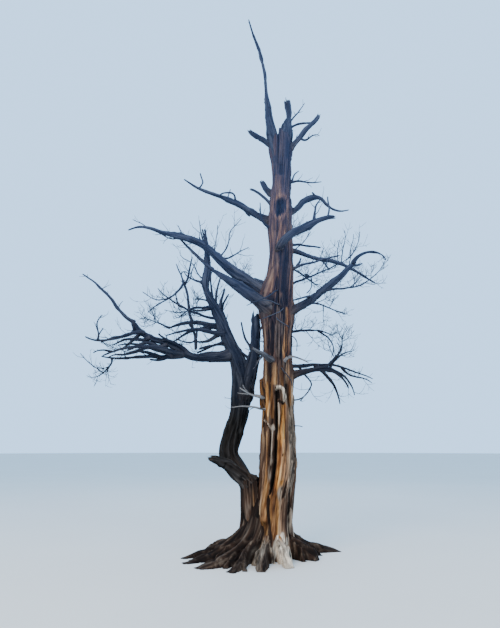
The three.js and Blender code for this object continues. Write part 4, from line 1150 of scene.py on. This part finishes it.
# Each limb's path and its radii, in millimetres.
paths = {
    "flank": walk(FLANK["start"], FLANK["length"], FLANK["climb"], FLANK["bearing"], seeded(1)),
    "trunk": np.array([[along(TRUNK_X, i / 32), 0, FORK_HEIGHT * i / 32] for i in range(33)]),
}
girths = {"flank": FLANK["girth"], "trunk": TRUNK_RADIUS}
seeds = {}
for name, parent, at, length, climbs, bearings, girth, *_ in STEMS + BOUGHS + PALE_BOUGHS + TWIG_MASSES:
    seeds[name] = 10 + len(seeds)
    paths[name] = walk(point_at(paths[parent], at), length, climbs, bearings, seeded(seeds[name]))
    girths[name] = girth
stretches = []  # name, start, end and radius of straight stretches of limb, to keep twigs clear of them


def remember(name, points, girth, count):
    """Keeps a limb's stretches for touches."""
    for i in range(count):
        a, b = i / count, (i + 1) / count
        thick = max(along(girth, a), along(girth, b))
        stretches.append((name, point_at(points, a), point_at(points, b), thick))


remember("trunk", paths["trunk"], TRUNK_RADIUS, 16)
remember("trunk", paths["flank"], FLANK["girth"], 2)
for name in seeds:
    remember(name, paths[name], girths[name], 8)


def touches(name, points, radius):
    """Whether a twig of that radius comes too near a limb other than its own."""
    for other, a, b, size in stretches:
        if other == name:
            continue
        line = b - a
        for point in points:
            t = min(max((point - a).dot(line) / line.dot(line), 0), 1)
            if np.linalg.norm(a + line * t - point) < size + radius + TWIG_GAP:
                return True
    return False


def twig_path(stem, t, turn, length, random):
    """The source's rule for a twig: it leaves the stem on one side, leans forwards and curls up."""
    forward = direction_at(stem, t)
    side = unit(np.cross(forward, [0, 0, 1]))
    lift = np.cross(side, forward)
    out = side * math.cos(math.radians(turn)) + lift * math.sin(math.radians(turn))
    lean = 0.5 + 0.7 * next(random)
    curl = 0.35 + 0.5 * next(random)
    points = [point_at(stem, t)]
    course = unit(out + forward * lean)
    for _ in range(TWIG_STRIDES):
        points.append(points[-1] + course * (length / TWIG_STRIDES))
        course = unit(course + np.array([0, 0, curl / 2]))
    return np.array(points)


def ripple(points, rng, amount):
    """The twig with its path broken into crooked short lengths between the same ends."""
    t = np.linspace(0, 1, 3 * (len(points) - 1) + 1)
    fine = np.array([point_at(points, value) for value in t])
    span = np.linalg.norm(points[-1] - points[0])
    wobble = rng.normal(size=fine.shape) * amount * span
    wobble[0] = wobble[-1] = 0
    return fine + wobble


def fringe(piece, twig, foot, rng, number, level=0):
    """Fine side twigs on a twig, and finer ones again on those."""
    span = length_of(twig)
    random = seeded(int(rng.integers(1, 9999)))
    for i in range(number):
        t = 0.2 + 0.75 * (i + next(random)) / number
        length = min(0.75 * span * (1.1 - 0.6 * t) * (0.4 + 0.8 * next(random)), LONGEST_FRINGE)
        radius = max(foot * (1 - 0.6 * t) * 0.6, 4.4 - level)
        fine = ripple(twig_path(twig, t, i * GOLDEN_ANGLE + 50 * level, length, random), rng, 0.018)
        twig_tube(piece, fine, radius, max(0.4 * radius, FINEST), i, 4, 1, 0.1 * rng.uniform())
        if level == 0 and length > 220:
            fringe(piece, fine, radius, rng, 2, 1)


def spurs(piece, path, girth, seed, per_metre):
    """Short dead twigs and snapped ends that stand off a bough."""
    rng = np.random.default_rng(seed + SPUR_SEED)
    for _ in range(int(per_metre * (length_of(path) / 1000))):
        t = rng.uniform(0.25, 0.98)
        thick = along(girth, t)
        forward = direction_at(path, t)
        out = unit(np.cross(forward, rng.normal(size=3))) * rng.uniform(0.6, 1.0)
        out = unit(out + forward * rng.uniform(0.2, 0.9) + np.array([0, 0, 0.35]))
        reach = rng.uniform(50, 280 if per_metre > 1 else 110) * (1.0 if thick > 15 else 0.6) + thick
        points = [point_at(path, t)]
        for i in range(4):
            out = unit(out + 0.28 * rng.normal(size=3) + np.array([0, 0, 0.08]))
            points.append(points[-1] + out * reach / 4)
        foot = min(0.45 * thick, rng.uniform(5, 13))
        twig_tube(piece, points, foot, foot * rng.uniform(0.25, 0.5), seed, 6, 2, 0.12 * rng.uniform())
        if reach > 150:
            fringe(piece, np.array(points), 0.6 * foot, rng, 2, 1)


def side_limbs(piece, name):
    """The smaller limbs that this one carries, each with its own fine twigs."""
    for number, (parent, at, length, climbs, bearings, girth) in enumerate(SIDE_LIMBS):
        if parent != name:
            continue
        seed = SIDE_SEED + number
        path = walk(point_at(paths[parent], at), length, climbs, bearings, seeded(seed))
        bleached = 0.35 if parent == "trunk" else BLEACHED.get(name, HARDLY_BLEACHED)
        limb_tube(piece, path, girth, seed, 10, along(girths[parent], at) / 1000, bleached=bleached)
        if name not in BARE and name != "trunk":
            rng = np.random.default_rng(FRINGE_SEED + number)
            fringe(piece, path, min(8, 0.5 * girth[0]), rng, int(length / 150))


def build_limb(name, parent, at):
    """A stem or bough with its short spurs and its side limbs."""
    path, girth, seed = paths[name], girths[name], seeds[name]
    slot = "pale_wood" if name.startswith("pale_") else "bough_wood"
    piece = Piece(name + "_wood", bough_wood, slot, name)
    around = next(points for thick, points in AROUND.items() if girth[0] > thick)
    buried = 0.0 if name in ON_THE_FORK else along(girths[parent], at) / 1000
    limb_tube(piece, path, girth, seed, around, buried, LIMB_PITCH, broken=name in BROKEN,
              bleached=BLEACHED.get(name, HARDLY_BLEACHED), flare=FLARES.get(name, USUAL_FLARE),
              brown=FOOT_BROWN.get(parent, USUAL_BROWN))
    spurs(piece, path, girth, seed, 0.9 if name in BARE else 4)
    side_limbs(piece, name)
    piece.finish()


def build_spikes():
    """The thin dead limbs that stand straight off the trunk."""
    piece = Piece("trunk_spikes_wood", bough_wood, "pale_wood")
    side_limbs(piece, "trunk")
    piece.finish()


def grow_finer(piece, name, twig, foot, rng, random, level):
    """Side twigs on a twig, and on those again, by the source's rule."""
    span = length_of(twig)
    number = max(int(round((4, 2)[level] * min(1.3, span / (260, 120)[level]) + 0.4 * rng.normal())), 1)
    for i in range(number):
        t = 0.18 + 0.78 * (i + next(random)) / number
        length = 0.85 * span * (1 - 0.5 * t) * (0.5 + 0.7 * next(random))
        fine = twig_path(twig, t, i * GOLDEN_ANGLE + 50 * level, length, random)
        radius = foot * (1 - 0.6 * t) * 0.6
        if level == 0 and touches(name, fine[1:], radius):
            continue
        fine = ripple(fine, rng, 0.018)
        seed = seeds[name] + MASS_SEED + i
        tip = max(0.4 * radius, FINEST)
        twig_tube(piece, fine, max(radius, 4 - level), tip, seed, 4, 1, 0.1 * rng.uniform())
        if level == 0 and length > 120:
            grow_finer(piece, name, fine, radius, rng, random, 1)


def build_spray(name, parent, at, number, reach):
    """A mass of twigs on its stem, carried to finer twigs than in the source."""
    piece = Piece(name + "_spray", twig_wood, "twig_wood", name)
    stem, girth, seed = paths[name], girths[name], seeds[name] + MASS_SEED
    random = seeded(seed)
    rng = np.random.default_rng(seed)
    limb_tube(piece, stem, girth, seed, 12, along(girths[parent], at) / 1000)

    def grow(twig, radius, tip, around, fine):
        crooked_twig = ripple(twig, rng, 0.02)
        twig_tube(piece, crooked_twig, radius, tip, seed, around, 2)
        remember(name, twig, [radius, 3], 2)
        if name not in BARE:
            grow_finer(piece, name, crooked_twig, radius, rng, fine, 0)

    for i in range(number):
        t = 0.22 + 0.76 * (i + next(random)) / number
        span = reach * (1 - 0.45 * t) * (0.6 + 0.6 * next(random))
        radius = min(8, 0.6 * along(girth, t))
        twig = twig_path(stem, t, i * GOLDEN_ANGLE, span, random)
        fork = twig_path(twig, 0.45, i * GOLDEN_ANGLE + 90, 0.55 * span, random)
        fine = seeded(seed * 100 + i)
        if touches(name, twig[1:], radius):
            continue
        grow(twig, radius, 2.5, 6, fine)
        if name not in BARE and i % 2 and not touches(name, fork[1:], 0.7 * radius):
            grow(fork, 0.7 * radius, 2.2, 5, fine)
    for i in range(0 if name in BARE else int(number * 1.5)):  # short fine twigs straight off the stem
        t = 0.15 + 0.83 * (i + rng.uniform()) / (number * 1.5)
        twig = twig_path(stem, t, i * GOLDEN_ANGLE + 70, 0.35 * reach * rng.uniform(0.4, 1), random)
        if not touches(name, twig[1:], 4):
            twig_tube(piece, ripple(twig, rng, 0.04), 4, 1.5, seed, 4, 1, 0.15 * rng.uniform())
    side_limbs(piece, name)
    piece.finish()


build_trunk()
build_base()
for name, parent, at, *_ in STEMS + BOUGHS + PALE_BOUGHS:
    build_limb(name, parent, at)
build_spikes()
for name, parent, at, _, _, _, _, number, reach in TWIG_MASSES:
    build_spray(name, parent, at, number, reach)

camera = bpy.data.objects.new("camera", bpy.data.cameras.new("camera"))
camera.location = EYE
camera.rotation_euler = (math.radians(90 + TILT), 0, 0)
camera.data.sensor_fit = "HORIZONTAL"
camera.data.sensor_width = 36
camera.data.lens = LENS * camera.data.sensor_width
camera.data.clip_end = 500
bpy.context.scene.collection.objects.link(camera)
bpy.context.scene.camera = camera


def floor_look(name, colour):
    """A matt floor with faint broad patches."""
    made = bpy.data.materials.new(name)
    made.use_nodes = True
    tree = made.node_tree
    shader = tree.nodes["Principled BSDF"]
    place = node(tree, "ShaderNodeTexCoord").outputs["Object"]
    speckle = node(tree, "ShaderNodeTexNoise", in_Vector=place, in_Scale=0.35, in_Detail=3.0).outputs["Fac"]
    shade = ramp(tree, speckle, (0.35, tuple(0.97 * c for c in colour)), (0.65, colour))
    tree.links.new(shade, shader.inputs["Base Color"])
    shader.inputs["Roughness"].default_value = 0.9
    return made


# The floor, the sky and the lamps.
bpy.ops.mesh.primitive_circle_add(vertices=96, radius=FLOOR_RADIUS, fill_type="NGON", location=(0, 0, -0.002))
floor = bpy.context.object
floor.name = "floor"
floor.data.materials.append(floor_look("pale_floor", FLOOR_COLOUR))

world = bpy.data.worlds.new("studio")
bpy.context.scene.world = world
world.use_nodes = True
background = world.node_tree.nodes["Background"]
background.inputs["Color"].default_value = (*SKY_COLOUR, 1)
background.inputs["Strength"].default_value = SKY_STRENGTH


def lamp(name, place, aim, size, power, colour):
    """A square soft light, aimed at the tree."""
    data = bpy.data.lights.new(name, "AREA")
    data.size = size
    data.energy = power
    data.color = colour
    made = bpy.data.objects.new(name, data)
    made.location = place
    made.rotation_euler = (Vector(aim) - Vector(place)).to_track_quat("-Z", "Y").to_euler()
    bpy.context.scene.collection.objects.link(made)


lamp("key", (-7, -11, 12), (0, 0, 4), 9, 2800, (1.0, 0.80, 0.55))
lamp("fill", (10, -7, 7), (0, 0, 4), 8, 700, (1.0, 0.86, 0.70))
lamp("rim", (2, 12, 12), (0, 0, 5), 9, 400, (0.95, 0.98, 1.0))
